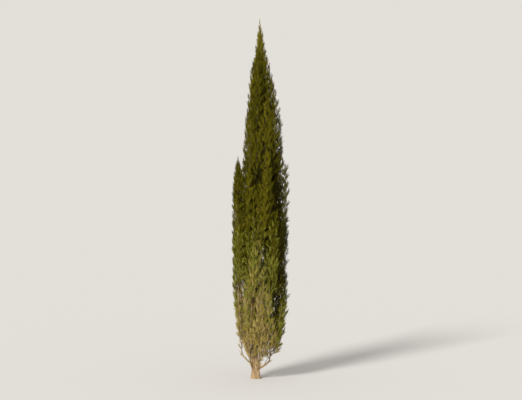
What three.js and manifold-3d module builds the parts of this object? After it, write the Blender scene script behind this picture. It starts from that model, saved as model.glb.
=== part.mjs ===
// A pencil cypress, the whole tree: one tall main stem, a second stem that forks from it near the
// ground and makes a lower spire on the left, steep boughs, and upright plumes of foliage.
// Sizes are in millimetres. Z is up, X runs left to right and Y away from the viewer.
// The origin is the middle of the flat cut under the trunk, at ground level.

import * as THREE from 'three';
import { mergeVertices } from 'three/addons/utils/BufferGeometryUtils.js';
import Module from 'manifold-3d';

const wasm = await Module();
wasm.setup();

// The whole tree
const TREE_HEIGHT = 8000;
const TRUNK_TOP = 7450; // where the trunk ends, inside the foliage of the leading shoot
const CLEARANCE = 0.3; // between two pieces that touch

// The main stem
const TRUNK_RADIUS = 80; // just above the root flare
const TIP_RADIUS = 4;
const TRUNK_TAPER = 0.85;
const FLARE_REACH = 50; // how much wider the foot is than the stem
const FLARE_HEIGHT = 150;
const FLARE_ROOTS = 5; // ridges that run down into the roots
const FLARE_VALLEY = 0.45; // how wide the flare is between two ridges, beside a ridge
const FLARE_TURN = 34; // degrees from the right to the first ridge
const TRUNK_LEAN = 80; // how far the tip stands right of the foot
const TRUNK_BOW = 90; // how far the lower stem bends left of that line
const TRUNK_SWAY = 35; // front to back
const TRUNK_SIDES = 15;
const TRUNK_RINGS = [
  0, 60, 140, 260, 450, 750, 1200, 1800, 2500, 3200, 4000, 4800, 5600, 6400, 7000, TRUNK_TOP,
];

// The second stem, left of the first
const STEM_FORK = 380; // height at which it leaves the trunk
const STEM_SWING = [-322, -20, 620]; // the two points that bend it out and then upright
const STEM_KNEE = [-378, -30, 1100];
const STEM_TOP = [-350, 0, 3500];
const STEM_RADIUS = 48;
const STEM_END_RADIUS = 19;
const STEM_SIDES = 9;
const STEM_SEGMENTS = 12;

// The crown's outline in the front view, as rows of height, left edge and right edge
const MAIN_OUTLINE = [
  [300, -170, 420],
  [700, -330, 600],
  [1700, -350, 750],
  [2800, -360, 785],
  [4200, -350, 785],
  [5200, -290, 700],
  [6200, -215, 520],
  [6900, -125, 330],
  [7450, -10, 210],
  [8000, 76, 84],
];
const LEFT_OUTLINE = [
  [450, -410, -190],
  [1100, -460, -160],
  [2200, -540, -150],
  [4200, -540, -160],
  [4700, -505, -300],
  [4950, -402, -398],
];
const MAIN_DEPTH = 1.0; // front-to-back width as a share of the side-to-side width
const LEFT_DEPTH = 1.7;

// The tiers of foliage masses: the heights of their feet and tips, how far out the feet stand (a share
// of the way from beside the stem to the crown's edge), the bearings of the first and last mass in
// degrees (0 to the right, 90 away from the viewer), and where along a mass its core starts, if it has one
const MAIN_TIERS = [
  { name: 'low', foot: 360, tip: 2600, reach: 0.55, count: 5, first: -130, last: 130, core: null },
  { name: 'waist', foot: 1600, tip: 3950, reach: 0.42, count: 5, first: -100, last: 150, core: 0.2 },
  { name: 'middle', foot: 2700, tip: 5250, reach: 0.34, count: 5, first: -132, last: 120, core: 0.05 },
  { name: 'shoulder', foot: 3900, tip: 6300, reach: 0.28, count: 4, first: -150, last: 110, core: 0.05 },
  { name: 'upper', foot: 5100, tip: 7200, reach: 0.25, count: 3, first: -110, last: 130, core: 0.05 },
];
const LEFT_TIERS = [
  { name: 'left_low', foot: 700, tip: 2600, reach: 0.3, count: 1, first: 180, last: 180, core: null },
  { name: 'left_middle', foot: 1900, tip: 4050, reach: 0.3, count: 2, first: 110, last: 250, core: 0.2 },
];
const TOP_FOOT = 5750; // the mass round the main stem's tip
const LEFT_TIP = 4940;
const END_CORE = 0.05; // where the core of these last two masses starts
const FOOT_JITTER = 120; // how far the feet or tips of one tier differ in height
const TIP_REACH = 0.74; // of the way from beside the stem to the crown's edge
const BESIDE_STEM = 35; // least distance from a stem's bark to a mass's axis

// One mass
const SEAM = 9; // between neighbouring masses
const UPRIGHT_STRETCH = 0.2; // heights count this much beside widths where masses share out the crown
const MASS_WIDTH = 0.9; // widest half-width, as a share of the way from the stem to the crown's edge
const FLAME_FOOT = 0.45; // a lower value makes the foot blunter
const FLAME_TIP = 0.8; // a higher value makes the tip sharper
const CORE_OUTWARD = 0.58; // how far a core reaches out from the stem, beside the whole mass
const CORE_SIDEWAYS = 0.92; // and towards its neighbours and the stem
const CORE_ROUND = 0.75; // and where the mass stands round the stem
const CORE_RINGS = [0, 0.12, 0.3, 0.55, 0.8]; // shares of the way from the core's start to the tip
const CORE_FOOT = 0.3; // the core's width where it starts, beside its full width there
const CORE_FOOT_LENGTH = 0.25; // share of the core over which it fills out from there
const CORE_TOP = 0.6; // how much it thins beside the mass towards the tip
const CORE_SIDES = 6;
const DENSE_STEM = { end: 0.36, thin: 0.7 }; // share of the mass that its own stem runs up, and its taper
const OPEN_STEM = { end: 0.93, thin: 0.25 };
const TWIG_SIDES = 4;

// Boughs
const BOUGH_DROP = 560; // from a mass's foot down to where its bough leaves the stem
const LOWEST_BOUGH = 0.45; // and at the lowest masses, as a share of the foot's height
const BOUGH_SPREAD = 0.3; // how it leaves the stem: outwards and upwards, as shares of its rise
const BOUGH_LIFT = 0.2;
const BOUGH_UPTURN = 0.45; // how much of its rise it takes to turn into its mass
const BOUGH_SIDES = 5;
const BOUGH_SEGMENTS = 5;
const BOUGH_SHARE = 0.36; // the bough's radius beside that of its stem
const THINNEST_BOUGH = 12;
const BOUGH_TAPER = 0.48; // what is left of its radius where it meets its mass
const THINNEST_END = 8.5;

// A spray of foliage is a flat, toothed blade that points up. Its corners are shares of its length:
// up from the root, to the right and to the front.
const SPRAY_CORNERS = {
  ridgeFront: [0.42, 0, 0.022],
  ridgeBack: [0.42, 0, -0.022],
  rootFront: [0, 0, 0.014],
  rootLeft: [0, -0.012, -0.007],
  rootRight: [0, 0.012, -0.007],
  toothLeft: [0.58, -0.13, 0],
  notchLeft: [0.56, -0.05, 0],
  tip: [1, 0, 0],
  notchRight: [0.7, 0.04, 0],
  toothRight: [0.78, 0.11, 0],
};
const SPRAY_FRONT = [
  'rootFront', 'rootRight', 'toothRight', 'notchRight', 'tip', 'notchLeft', 'toothLeft', 'rootLeft',
];
const SPRAY_BACK = ['rootLeft', 'toothLeft', 'notchLeft', 'tip', 'notchRight', 'toothRight', 'rootRight'];
const SPRAY_LENGTH = 0.23; // share of the mass's length
const SPRAY_WIDTHS = [1, 0.7, 0.45]; // a spray that leaves its mass's space is tried narrower
const SHORTEST_SPRAY = 0.55; // share of the full length, below which a spray is left out
const SPRAY_TWIST = 55; // degrees that a spray's face turns from straight out, at most
const SPRAY_LEAN = 1; // how much lower a spray's root lies for each unit that its tip stands out
const SPRAY_SPREAD = 190; // degrees of bearing that the sprays of one mass cover
const SPRAY_COUNT = 10; // in one mass
const SPRAY_TIPS = [0.12, 0.98]; // where along its mass the tips lie
const LOWEST_ROOT = 0.02;
const ROOT_DEPTH = 0.04; // how far above a core's start a root is sunk in it
const ROOT_REACH = 0.42; // where roots sit in a core, as a share of the way from the axis to the mass's edge
const TIP_MARGIN = 0.012; // from tips to the mass's edge, as a share of the mass's length
const GOLDEN = 0.618034;

const radians = THREE.MathUtils.degToRad;
const mix = THREE.MathUtils.lerp;
const UP = new THREE.Vector3(0, 0, 1);

// Random numbers from 0 to 1 that are the same on every run
function seeded(seed) {
  let state = seed;
  return () => {
    state = (state + 0x6d2b79f5) | 0;
    let t = Math.imul(state ^ (state >>> 15), 1 | state);
    t = (t + Math.imul(t ^ (t >>> 7), 61 | t)) ^ t;
    return ((t ^ (t >>> 14)) >>> 0) / 4294967296;
  };
}

// The k-th of an endless row of numbers that fills 0 to 1 evenly
function evenly(k) {
  let value = 0;
  for (let digit = 0.5, rest = k + 1; rest > 0; digit /= 2, rest >>= 1) {
    value += digit * (rest & 1);
  }
  return value;
}

// A closed solid from a mesh, and back
function toSolid(positions, triangles) {
  const geometry = new THREE.BufferGeometry();
  const numbers = positions.flatMap((position) => position.toArray());
  geometry.setAttribute('position', new THREE.Float32BufferAttribute(numbers, 3));
  geometry.setIndex(triangles);
  const merged = mergeVertices(geometry, 1e-3);
  return new wasm.Manifold(new wasm.Mesh({
    numProp: 3,
    vertProperties: merged.attributes.position.array,
    triVerts: new Uint32Array(merged.index.array),
  }));
}

function toGeometry(solid) {
  const mesh = solid.getMesh();
  const geometry = new THREE.BufferGeometry();
  geometry.setAttribute('position', new THREE.BufferAttribute(mesh.vertProperties, mesh.numProp));
  geometry.setIndex(new THREE.BufferAttribute(mesh.triVerts, 1));
  geometry.computeVertexNormals();
  return geometry;
}

// A skin over rings of equally many points, counter-clockwise seen from their far end. Its ends are
// flat, or the far one runs out to a point.
function loft(rings, point = null) {
  const sides = rings[0].length;
  const positions = point ? [...rings.flat(), point] : rings.flat();
  const triangles = [];
  for (let ring = 0; ring + 1 < rings.length; ring++) {
    for (let side = 0; side < sides; side++) {
      const a = ring * sides + side;
      const b = ring * sides + ((side + 1) % sides);
      triangles.push(a, b, b + sides, a, b + sides, a + sides);
    }
  }
  const last = (rings.length - 1) * sides;
  for (let side = 1; side + 1 < sides; side++) triangles.push(0, side + 1, side);
  for (let side = 1; side + 1 < sides && !point; side++) triangles.push(last, last + side, last + side + 1);
  for (let side = 0; side < sides && point; side++) {
    triangles.push(last + side, last + ((side + 1) % sides), last + sides);
  }
  return toSolid(positions, triangles);
}

// The largest connected piece: it has no loose scraps, and a hollow that the joining sealed is filled
function mainBody(solid) {
  return solid.decompose().reduce((best, piece) => (piece.volume() > best.volume() ? piece : best));
}

// The main stem
function trunkCentre(height) {
  const share = height / TREE_HEIGHT;
  const bow = TRUNK_BOW * Math.sin(2 * Math.PI * share) * (1 - share);
  const sway = TRUNK_SWAY * Math.sin(1.5 * Math.PI * share) * (1 - share);
  return new THREE.Vector3(TRUNK_LEAN * share - bow, sway, height);
}

function trunkRadius(height) {
  return TIP_RADIUS + (TRUNK_RADIUS - TIP_RADIUS) * (1 - height / TREE_HEIGHT) ** TRUNK_TAPER;
}

function trunkSolid(extra = 0) {
  const rings = TRUNK_RINGS.map((height) => {
    const centre = trunkCentre(height);
    const flare = Math.exp(-height / FLARE_HEIGHT);
    return Array.from({ length: TRUNK_SIDES }, (_, side) => {
      const angle = (2 * Math.PI * side) / TRUNK_SIDES;
      const ridge = 0.5 + 0.5 * Math.cos(FLARE_ROOTS * (angle - radians(FLARE_TURN)));
      const radius = trunkRadius(height) + FLARE_REACH * flare * mix(FLARE_VALLEY, 1, ridge) + extra;
      return new THREE.Vector3(Math.cos(angle), Math.sin(angle), 0).multiplyScalar(radius).add(centre);
    });
  });
  return loft(rings);
}

// A round limb that tapers along a curve, or with an extra all round and past both ends
function limbSolid(curve, radiusAt, sides, segments, extra = 0) {
  const rings = Array.from({ length: segments + 1 }, (_, ring) => {
    const share = ring / segments;
    const along = curve.getTangent(share);
    const across = new THREE.Vector3(1, 0, 0).addScaledVector(along, -along.x).normalize();
    const third = new THREE.Vector3().crossVectors(along, across);
    const past = ring === 0 ? -extra : ring === segments ? extra : 0;
    const centre = curve.getPoint(share).addScaledVector(along, past);
    const radius = radiusAt(share) + extra;
    return Array.from({ length: sides }, (_, side) => {
      const angle = (2 * Math.PI * side) / sides;
      return centre.clone()
        .addScaledVector(across, radius * Math.cos(angle))
        .addScaledVector(third, radius * Math.sin(angle));
    });
  });
  return loft(rings);
}

const secondStem = {
  curve: new THREE.CubicBezierCurve3(
    trunkCentre(STEM_FORK),
    new THREE.Vector3(...STEM_SWING),
    new THREE.Vector3(...STEM_KNEE),
    new THREE.Vector3(...STEM_TOP),
  ),
  radiusAt: (share) => mix(STEM_RADIUS, STEM_END_RADIUS, share),
};

// The point of the second stem at a height
function stemCentre(height) {
  let low = 0;
  let high = 1;
  for (let step = 0; step < 20; step++) {
    const middle = (low + high) / 2;
    if (secondStem.curve.getPoint(middle).z < height) low = middle;
    else high = middle;
  }
  return secondStem.curve.getPoint(low).setZ(height);
}

function stemRadius(height) {
  const share = (height - STEM_FORK) / (STEM_TOP[2] - STEM_FORK);
  return secondStem.radiusAt(THREE.MathUtils.clamp(share, 0, 1));
}

// The two spires that make up the crown: an outline, and the stem that carries it
const mainSpire = { outline: MAIN_OUTLINE, depth: MAIN_DEPTH, centre: trunkCentre, radius: trunkRadius };
const leftSpire = { outline: LEFT_OUTLINE, depth: LEFT_DEPTH, centre: stemCentre, radius: stemRadius };

// The middle and the half-width of a spire at a height
function section(spire, height) {
  const rows = spire.outline;
  const z = THREE.MathUtils.clamp(height, rows[0][0], rows.at(-1)[0]);
  const above = Math.max(1, rows.findIndex((row) => row[0] >= z));
  const [[z0, left0, right0], [z1, left1, right1]] = [rows[above - 1], rows[above]];
  const share = (z - z0) / (z1 - z0);
  const left = mix(left0, left1, share);
  const right = mix(right0, right1, share);
  return { middle: (left + right) / 2, half: (right - left) / 2 };
}

// How far it is from a point to the spire's edge in a level direction, or 0 outside the spire
function wayToEdge(spire, point, direction) {
  const { middle, half } = section(spire, point.z);
  const squash = 1 / spire.depth;
  const px = point.x - middle;
  const py = point.y * squash;
  const dx = direction.x;
  const dy = direction.y * squash;
  const a = dx * dx + dy * dy;
  const b = px * dx + py * dy;
  const c = px * px + py * py - half * half;
  return c > 0 ? 0 : (-b + Math.sqrt(b * b - a * c)) / a;
}

function levelDirection(bearing) {
  return new THREE.Vector3(Math.cos(bearing), Math.sin(bearing), 0);
}

// The masses: each has an axis from its foot to its tip, a bearing from its stem and its share of the crown
function massOnStem(spire, tier, index, number) {
  const random = seeded(number + 1);
  const share = tier.count > 1 ? index / (tier.count - 1) : 0.5;
  const bearing = radians(mix(tier.first, tier.last, share));
  const out = levelDirection(bearing);
  const place = (height, reach) => {
    const centre = spire.centre(height);
    const nearest = spire.radius(height) + BESIDE_STEM;
    return centre.addScaledVector(out, Math.max(nearest, mix(nearest, wayToEdge(spire, centre, out), reach)));
  };
  const foot = place(tier.foot + FOOT_JITTER * (2 * random() - 1), tier.reach);
  const tip = place(tier.tip + FOOT_JITTER * (2 * random() - 1), TIP_REACH);
  const name = `${tier.name}_${index + 1}`;
  return { name, spire, bearing, out, foot, tip, core: tier.core, round: false, number };
}

function massRoundStem(name, spire, footHeight, tip, number) {
  const foot = spire.centre(footHeight);
  return { name, spire, bearing: 0, out: levelDirection(0), foot, tip, core: END_CORE, round: true, number };
}

const masses = [];
for (const [spire, tiers] of [[mainSpire, MAIN_TIERS], [leftSpire, LEFT_TIERS]]) {
  for (const tier of tiers) {
    for (let index = 0; index < tier.count; index++) {
      masses.push(massOnStem(spire, tier, index, masses.length));
    }
  }
}
masses.push(massRoundStem('top', mainSpire, TOP_FOOT, trunkCentre(TREE_HEIGHT), masses.length));
const leftTip = new THREE.Vector3(section(leftSpire, LEFT_TIP).middle, 0, LEFT_TIP);
masses.push(massRoundStem('left_top', leftSpire, STEM_TOP[2], leftTip, masses.length));

// Two masses keep to their own sides of the plane half-way between their axes, where these come nearest
function stretchedAxis(mass) {
  const stretch = new THREE.Vector3(1, 1, UPRIGHT_STRETCH);
  return new THREE.Line3(mass.foot.clone().multiply(stretch), mass.tip.clone().multiply(stretch));
}

function boundaries(mass) {
  const axis = stretchedAxis(mass);
  const planes = masses.filter((other) => other !== mass).map((other) => {
    const here = new THREE.Vector3();
    const there = new THREE.Vector3();
    axis.distanceSqToLine3(stretchedAxis(other), here, there);
    const normal = there.clone().sub(here);
    const offset = normal.dot(here.add(there).multiplyScalar(0.5));
    normal.z *= UPRIGHT_STRETCH;
    const length = normal.length();
    return { normal: normal.divideScalar(length), offset: offset / length - SEAM / 2 };
  });
  if (!mass.round) {
    const normal = mass.out.clone().negate();
    const stemSide = mass.spire.radius(mass.foot.z) + SEAM;
    planes.push({ normal, offset: normal.dot(mass.spire.centre(mass.foot.z)) - stemSide });
  }
  return planes;
}

for (const mass of masses) {
  mass.planes = boundaries(mass);
  mass.axis = mass.tip.clone().sub(mass.foot);
  mass.length = mass.axis.length();
  mass.axis.normalize();
}

// The outline of a mass from its foot to its tip, 1 at its widest
function flame(share) {
  const belly = FLAME_FOOT / (FLAME_FOOT + FLAME_TIP);
  return (share / belly) ** FLAME_FOOT * ((1 - share) / (1 - belly)) ** FLAME_TIP;
}

function axisPoint(mass, share) {
  return mass.foot.clone().lerp(mass.tip, share);
}

// How far a mass reaches from its axis, in a level direction
function reachOf(mass, share, direction, margin) {
  const point = axisPoint(mass, share);
  const stem = mass.spire.centre(Math.min(point.z, TREE_HEIGHT));
  const widest = mass.round ? TREE_HEIGHT : MASS_WIDTH * wayToEdge(mass.spire, stem, mass.out);
  let reach = Math.min(widest * flame(share), wayToEdge(mass.spire, point, direction));
  for (const { normal, offset } of mass.planes) {
    const rise = normal.dot(direction);
    if (rise > 1e-6) reach = Math.min(reach, (offset - margin - normal.dot(point)) / rise);
  }
  return Math.max(reach, 0);
}

// Stems and boughs
const limbs = [{ name: 'trunk', solid: trunkSolid(), hole: trunkSolid(CLEARANCE) }];
const trunkHole = limbs[0].hole;

function addLimb(name, curve, radiusAt, sides, segments, cutBy) {
  const solid = mainBody(limbSolid(curve, radiusAt, sides, segments).subtract(cutBy));
  const hole = limbSolid(curve, radiusAt, sides, segments, CLEARANCE);
  limbs.push({ name, solid, hole });
}

addLimb('left_stem', secondStem.curve, secondStem.radiusAt, STEM_SIDES, STEM_SEGMENTS, trunkHole);
const stemHoles = trunkHole.add(limbs[1].hole);

function addBough(mass) {
  const start = mass.spire.centre(Math.max(mass.foot.z - BOUGH_DROP, LOWEST_BOUGH * mass.foot.z));
  const rise = mass.foot.z - start.z;
  const curve = new THREE.CubicBezierCurve3(
    start,
    start.clone().addScaledVector(mass.out, BOUGH_SPREAD * rise).addScaledVector(UP, BOUGH_LIFT * rise),
    mass.foot.clone().addScaledVector(mass.axis, -BOUGH_UPTURN * rise),
    mass.foot,
  );
  const thick = Math.max(BOUGH_SHARE * mass.spire.radius(start.z), THINNEST_BOUGH);
  const radiusAt = (share) => mix(thick, mass.stemRadius, share);
  mass.stemRadius = Math.max(BOUGH_TAPER * thick, THINNEST_END);
  addLimb(`bough_${mass.name}`, curve, radiusAt, BOUGH_SIDES, BOUGH_SEGMENTS, stemHoles);
}

for (const mass of masses.filter((one) => !one.round)) addBough(mass);
masses.find((one) => one.name === 'left_top').stemRadius = STEM_END_RADIUS;
const limbHoles = wasm.Manifold.union(limbs.map((limb) => limb.hole));

// Foliage
function insideBoundaries(mass, point) {
  return mass.planes.every(({ normal, offset }) => normal.dot(point) < offset);
}

function sprayCorners(root, tip, facing, width) {
  const up = tip.clone().sub(root);
  const size = up.length();
  const right = new THREE.Vector3().crossVectors(up, facing).setLength(size * width);
  const front = new THREE.Vector3().crossVectors(right, up).setLength(size);
  return Object.values(SPRAY_CORNERS).map(([u, r, f]) => (
    root.clone().addScaledVector(up, u).addScaledVector(right, r).addScaledVector(front, f)
  ));
}

function sprayTriangles() {
  const names = Object.keys(SPRAY_CORNERS);
  const fan = (hub, rim) => rim.flatMap((corner, i) => [hub, corner, rim[(i + 1) % rim.length]]);
  const corners = [
    ...fan('ridgeFront', SPRAY_FRONT), ...fan('ridgeBack', SPRAY_BACK), 'rootFront', 'rootLeft', 'rootRight',
  ];
  return corners.map((name) => names.indexOf(name));
}

// The place of a mass's k-th spray: its root near the mass's axis and its tip at the mass's edge.
// The first one stands on the axis and makes the mass's tip.
function sprayPlace(mass, k, random) {
  const share = k === 0 ? 1 : mix(...SPRAY_TIPS, evenly(k - 1));
  const spread = radians(mass.round ? 360 : SPRAY_SPREAD);
  const bearing = mass.bearing + spread * (((k + 1) * GOLDEN) % 1 - 0.5);
  const direction = levelDirection(bearing);
  const tipReach = k === 0 ? 0 : reachOf(mass, share, direction, TIP_MARGIN * mass.length);
  const drop = SPRAY_LENGTH * mix(0.75, 1, random()) + (SPRAY_LEAN * tipReach) / mass.length;
  const rootShare = Math.max(share - drop, LOWEST_ROOT);
  const rootInCore = mass.core !== null && k > 0 && rootShare > mass.core + ROOT_DEPTH;
  const rootReach = rootInCore ? ROOT_REACH * reachOf(mass, rootShare, direction, 0) : 0;
  return {
    facing: levelDirection(bearing + radians(SPRAY_TWIST) * (2 * random() - 1)),
    root: axisPoint(mass, rootShare).addScaledVector(direction, rootReach),
    tip: axisPoint(mass, share).addScaledVector(direction, tipReach),
  };
}

// A spray that keeps to its mass's space and clear of the limbs, or null
function spraySolid(mass, { root, tip, facing }) {
  if (root.distanceTo(tip) < SHORTEST_SPRAY * SPRAY_LENGTH * mass.length) return null;
  const tried = SPRAY_WIDTHS.map((width) => sprayCorners(root, tip, facing, width));
  const corners = tried.find((one) => one.every((point) => insideBoundaries(mass, point)));
  if (!corners) return null;
  const solid = toSolid(corners, sprayTriangles());
  return limbHoles.intersect(solid).isEmpty() ? solid : null;
}

function coreSolid(mass) {
  const rings = CORE_RINGS.map((part) => Array.from({ length: CORE_SIDES }, (_, side) => {
    const share = mix(mass.core, 1, part);
    const direction = levelDirection(mass.bearing + (2 * Math.PI * side) / CORE_SIDES);
    const outward = mix(CORE_SIDEWAYS, CORE_OUTWARD, Math.max(0, direction.dot(mass.out)));
    const full = mass.round ? CORE_ROUND : outward;
    const width = full * mix(1, CORE_TOP, part) * Math.min(1, mix(CORE_FOOT, 1, part / CORE_FOOT_LENGTH));
    return axisPoint(mass, share).addScaledVector(direction, width * reachOf(mass, share, direction, 0));
  }));
  return loft(rings, mass.tip);
}

function stemSolid(mass) {
  const { end, thin } = mass.core === null ? OPEN_STEM : DENSE_STEM;
  const line = new THREE.LineCurve3(mass.foot, axisPoint(mass, end));
  return limbSolid(line, (share) => mass.stemRadius * mix(1, thin, share), TWIG_SIDES, 1);
}

function foliageSolid(mass) {
  const random = seeded(100 + mass.number);
  const pieces = [];
  if (mass.stemRadius) pieces.push(stemSolid(mass).subtract(limbHoles));
  if (mass.core !== null) pieces.push(coreSolid(mass).subtract(limbHoles));
  for (let k = 0; k < SPRAY_COUNT; k++) {
    const spray = spraySolid(mass, sprayPlace(mass, k, random));
    if (spray) pieces.push(spray);
  }
  return mainBody(wasm.Manifold.union(pieces));
}

// Finishes, by eye from the photograph
const bark = new THREE.MeshStandardMaterial({ color: 0x9a8466, roughness: 0.95, metalness: 0 });
const foliage = new THREE.MeshStandardMaterial({ color: 0x4f4d16, roughness: 0.85, metalness: 0 });

const tree = new THREE.Group();
tree.name = 'pencil_cypress';

function addPart(name, solid, material) {
  const mesh = new THREE.Mesh(toGeometry(solid), material);
  mesh.name = name;
  tree.add(mesh);
}

for (const limb of limbs) addPart(limb.name, limb.solid, bark);
for (const mass of masses) addPart(`foliage_${mass.name}`, foliageSolid(mass), foliage);

export default tree;
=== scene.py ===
"""The look of a pencil cypress: bark in relief, boughs, twigs and sprays of scale foliage.

The stems, the boughs and the masses of foliage stand by the same rule as the tree's solids, here in
metres: Z is up, X runs left to right and Y away from the viewer, and the origin is the middle of the
flat cut under the trunk. Each mass grows shoots, twigs and sprays within its own share of the crown.
"""

import logging
import math
from dataclasses import dataclass, field
from enum import Enum

import bpy
import numpy as np
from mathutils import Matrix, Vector


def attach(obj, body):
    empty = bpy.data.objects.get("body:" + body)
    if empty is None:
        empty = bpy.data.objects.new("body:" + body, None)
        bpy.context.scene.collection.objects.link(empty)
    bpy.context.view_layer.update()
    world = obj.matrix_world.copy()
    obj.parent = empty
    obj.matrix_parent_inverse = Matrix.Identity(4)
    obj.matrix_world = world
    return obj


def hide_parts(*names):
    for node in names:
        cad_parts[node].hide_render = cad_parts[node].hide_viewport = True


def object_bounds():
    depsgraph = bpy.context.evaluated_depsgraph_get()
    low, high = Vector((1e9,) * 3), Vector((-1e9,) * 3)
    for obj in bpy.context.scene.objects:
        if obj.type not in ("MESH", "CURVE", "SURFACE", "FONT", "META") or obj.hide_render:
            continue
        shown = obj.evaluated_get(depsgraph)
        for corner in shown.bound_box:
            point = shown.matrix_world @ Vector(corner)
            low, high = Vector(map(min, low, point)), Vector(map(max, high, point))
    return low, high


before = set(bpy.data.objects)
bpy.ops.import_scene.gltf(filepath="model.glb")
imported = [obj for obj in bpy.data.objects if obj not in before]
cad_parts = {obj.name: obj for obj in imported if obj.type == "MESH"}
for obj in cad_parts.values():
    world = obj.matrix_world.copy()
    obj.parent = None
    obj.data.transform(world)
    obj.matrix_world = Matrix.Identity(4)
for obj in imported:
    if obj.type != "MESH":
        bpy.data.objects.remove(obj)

CAD_BOX = [list(corner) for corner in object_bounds()]
UP = np.array([0.0, 0.0, 1.0])
GOLDEN = 0.618034

Array = np.ndarray
Pair = tuple[float, float]
Triple = tuple[float, float, float]
Socket = bpy.types.NodeSocket
NodeTree = bpy.types.NodeTree
Inputs = dict[str | int, object]

log = logging.getLogger("pencil_cypress")


# Numbers, directions and lines


class Seeded:
    """Random numbers from 0 to 1 that are the same on every run, and the same as the solids have."""

    MASK = 0xFFFFFFFF
    STRIDE = 0x6D2B79F5

    def __init__(self, seed: int) -> None:
        """Starts the row of numbers that a seed gives."""
        self.state = seed

    def __call__(self) -> float:
        """Draws a number.

        Returns:
            The next number of the row.
        """
        self.state = (self.state + self.STRIDE) & self.MASK
        t = ((self.state ^ (self.state >> 15)) * (1 | self.state)) & self.MASK
        t = (t + ((t ^ (t >> 7)) * (61 | t))) & self.MASK ^ t
        return ((t ^ (t >> 14)) & self.MASK) / (self.MASK + 1)

    def between(self, low: float, high: float) -> float:
        """Draws a number, spread over a range."""
        return low + (high - low) * self()


def evenly(k: int) -> float:
    """Spreads an endless row of numbers evenly over 0 to 1.

    Args:
        k: which number of the row it is, from 0.

    Returns:
        The number.
    """
    value, digit, rest = 0.0, 0.5, k + 1
    while rest:
        value += digit * (rest & 1)
        digit /= 2
        rest >>= 1
    return value


def mix(low: float | Array, high: float | Array, share: float | Array) -> float | Array:
    """Gives the value or point at a share of the way from one to the other."""
    return low + (high - low) * share


def unit(vector: Array) -> Array:
    """Gives a vector of length 1 with the same direction."""
    return vector / np.linalg.norm(vector)


def level(bearing: float) -> Array:
    """Gives the level direction of a bearing in radians, 0 to the right."""
    return np.array([math.cos(bearing), math.sin(bearing), 0.0])


def tilted(axis: Array, spread: float, turn: float) -> Array:
    """Leans away from an axis.

    Args:
        axis: a unit vector.
        spread: the angle from the axis, in radians.
        turn: the way it leans, as an angle round the axis, in radians.

    Returns:
        The unit vector that leans so.
    """
    side = unit(np.cross(axis, [0.0, 1.0, 0.0]))
    ahead = np.cross(side, axis)
    across = math.cos(turn) * side + math.sin(turn) * ahead
    return math.cos(spread) * axis + math.sin(spread) * across


def bezier(corners: Array, shares: Array) -> Array:
    """Gives the points of a cubic Bezier curve.

    Args:
        corners: its four control points, one a row.
        shares: where along it the points lie, from 0 to 1.

    Returns:
        The points, one a row.
    """
    t = np.asarray(shares, float)[:, None]
    weights = np.hstack([(1 - t) ** 3, 3 * t * (1 - t) ** 2, 3 * t**2 * (1 - t), t**3])
    return weights @ np.asarray(corners, float)


def measured(line: Array) -> tuple[Array, Array]:
    """Gives the length of each part of a line, and the way along it to each of its points."""
    steps = np.linalg.norm(np.diff(line, axis=0), axis=1)
    return steps, np.concatenate([[0.0], np.cumsum(steps)])


# The form of the tree


@dataclass(frozen=True)
class MainStem:
    """The main stem, whole from the ground to its end inside the leading shoot.

    Its bow, to the sides, and its sway, to the front and back, are waves that fade upwards: so many
    turns over the tree's height."""

    tree_height: float = 8.0
    top: float = 7.45
    radius: float = 0.080
    tip_radius: float = 0.004
    taper: float = 0.85
    flare_reach: float = 0.050
    flare_height: float = 0.150
    flare_roots: int = 5
    flare_valley: float = 0.45
    flare_turn: float = math.radians(34)
    lean: float = 0.080
    bow: float = 0.090
    bow_turns: float = 1.0
    sway: float = 0.035
    sway_turns: float = 0.75

    @property
    def end_height(self) -> float:
        """Gives the height at which the stem ends."""
        return self.top

    def centre(self, height: float) -> Array:
        """Finds the middle of the stem.

        Args:
            height: the height to look at.

        Returns:
            The point.
        """
        share = height / self.tree_height
        bow = self.bow * math.sin(2 * math.pi * self.bow_turns * share) * (1 - share)
        sway = self.sway * math.sin(2 * math.pi * self.sway_turns * share) * (1 - share)
        return np.array([self.lean * share - bow, sway, height])

    def radius_at(self, height: float) -> float:
        """Gives the stem's radius at a height, without the root flare."""
        left = max(0.0, 1 - height / self.tree_height)
        return self.tip_radius + (self.radius - self.tip_radius) * left**self.taper

    def flare(self, height: float, angles: Array) -> Array:
        """Measures the root flare.

        Args:
            height: the height to look at.
            angles: the angles round the stem, in radians.

        Returns:
            How far the flare stands out at each angle.
        """
        ridge = 0.5 + 0.5 * np.cos(self.flare_roots * (angles - self.flare_turn))
        fade = math.exp(-height / self.flare_height)
        return self.flare_reach * fade * (self.flare_valley + (1 - self.flare_valley) * ridge)


@dataclass(frozen=True)
class SecondStem:
    """The second stem, which forks from the main one near the ground and carries the left spire."""

    SEARCH_STEPS = 20

    main: MainStem = MainStem()
    fork: float = 0.380
    swing: Triple = (-0.322, -0.020, 0.620)
    knee: Triple = (-0.378, -0.030, 1.100)
    top: Triple = (-0.350, 0.0, 3.500)
    radius: float = 0.048
    end_radius: float = 0.019

    @property
    def end_height(self) -> float:
        """Gives the height at which the stem ends."""
        return self.top[2]

    def line(self, shares: Array) -> Array:
        """Gives the points of its middle line at shares of its length."""
        return bezier([self.main.centre(self.fork), self.swing, self.knee, self.top], shares)

    def centre(self, height: float) -> Array:
        """Finds the middle of the stem, by halving.

        Args:
            height: the height to look at.

        Returns:
            The point.
        """
        low, high = 0.0, 1.0
        for _ in range(self.SEARCH_STEPS):
            middle = (low + high) / 2
            if self.line([middle])[0][2] < height:
                low = middle
            else:
                high = middle
        return np.array([*self.line([low])[0][:2], height])

    def radius_at(self, height: float) -> float:
        """Gives the stem's radius at a height."""
        share = (height - self.fork) / (self.top[2] - self.fork)
        return mix(self.radius, self.end_radius, min(max(share, 0.0), 1.0))


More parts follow.
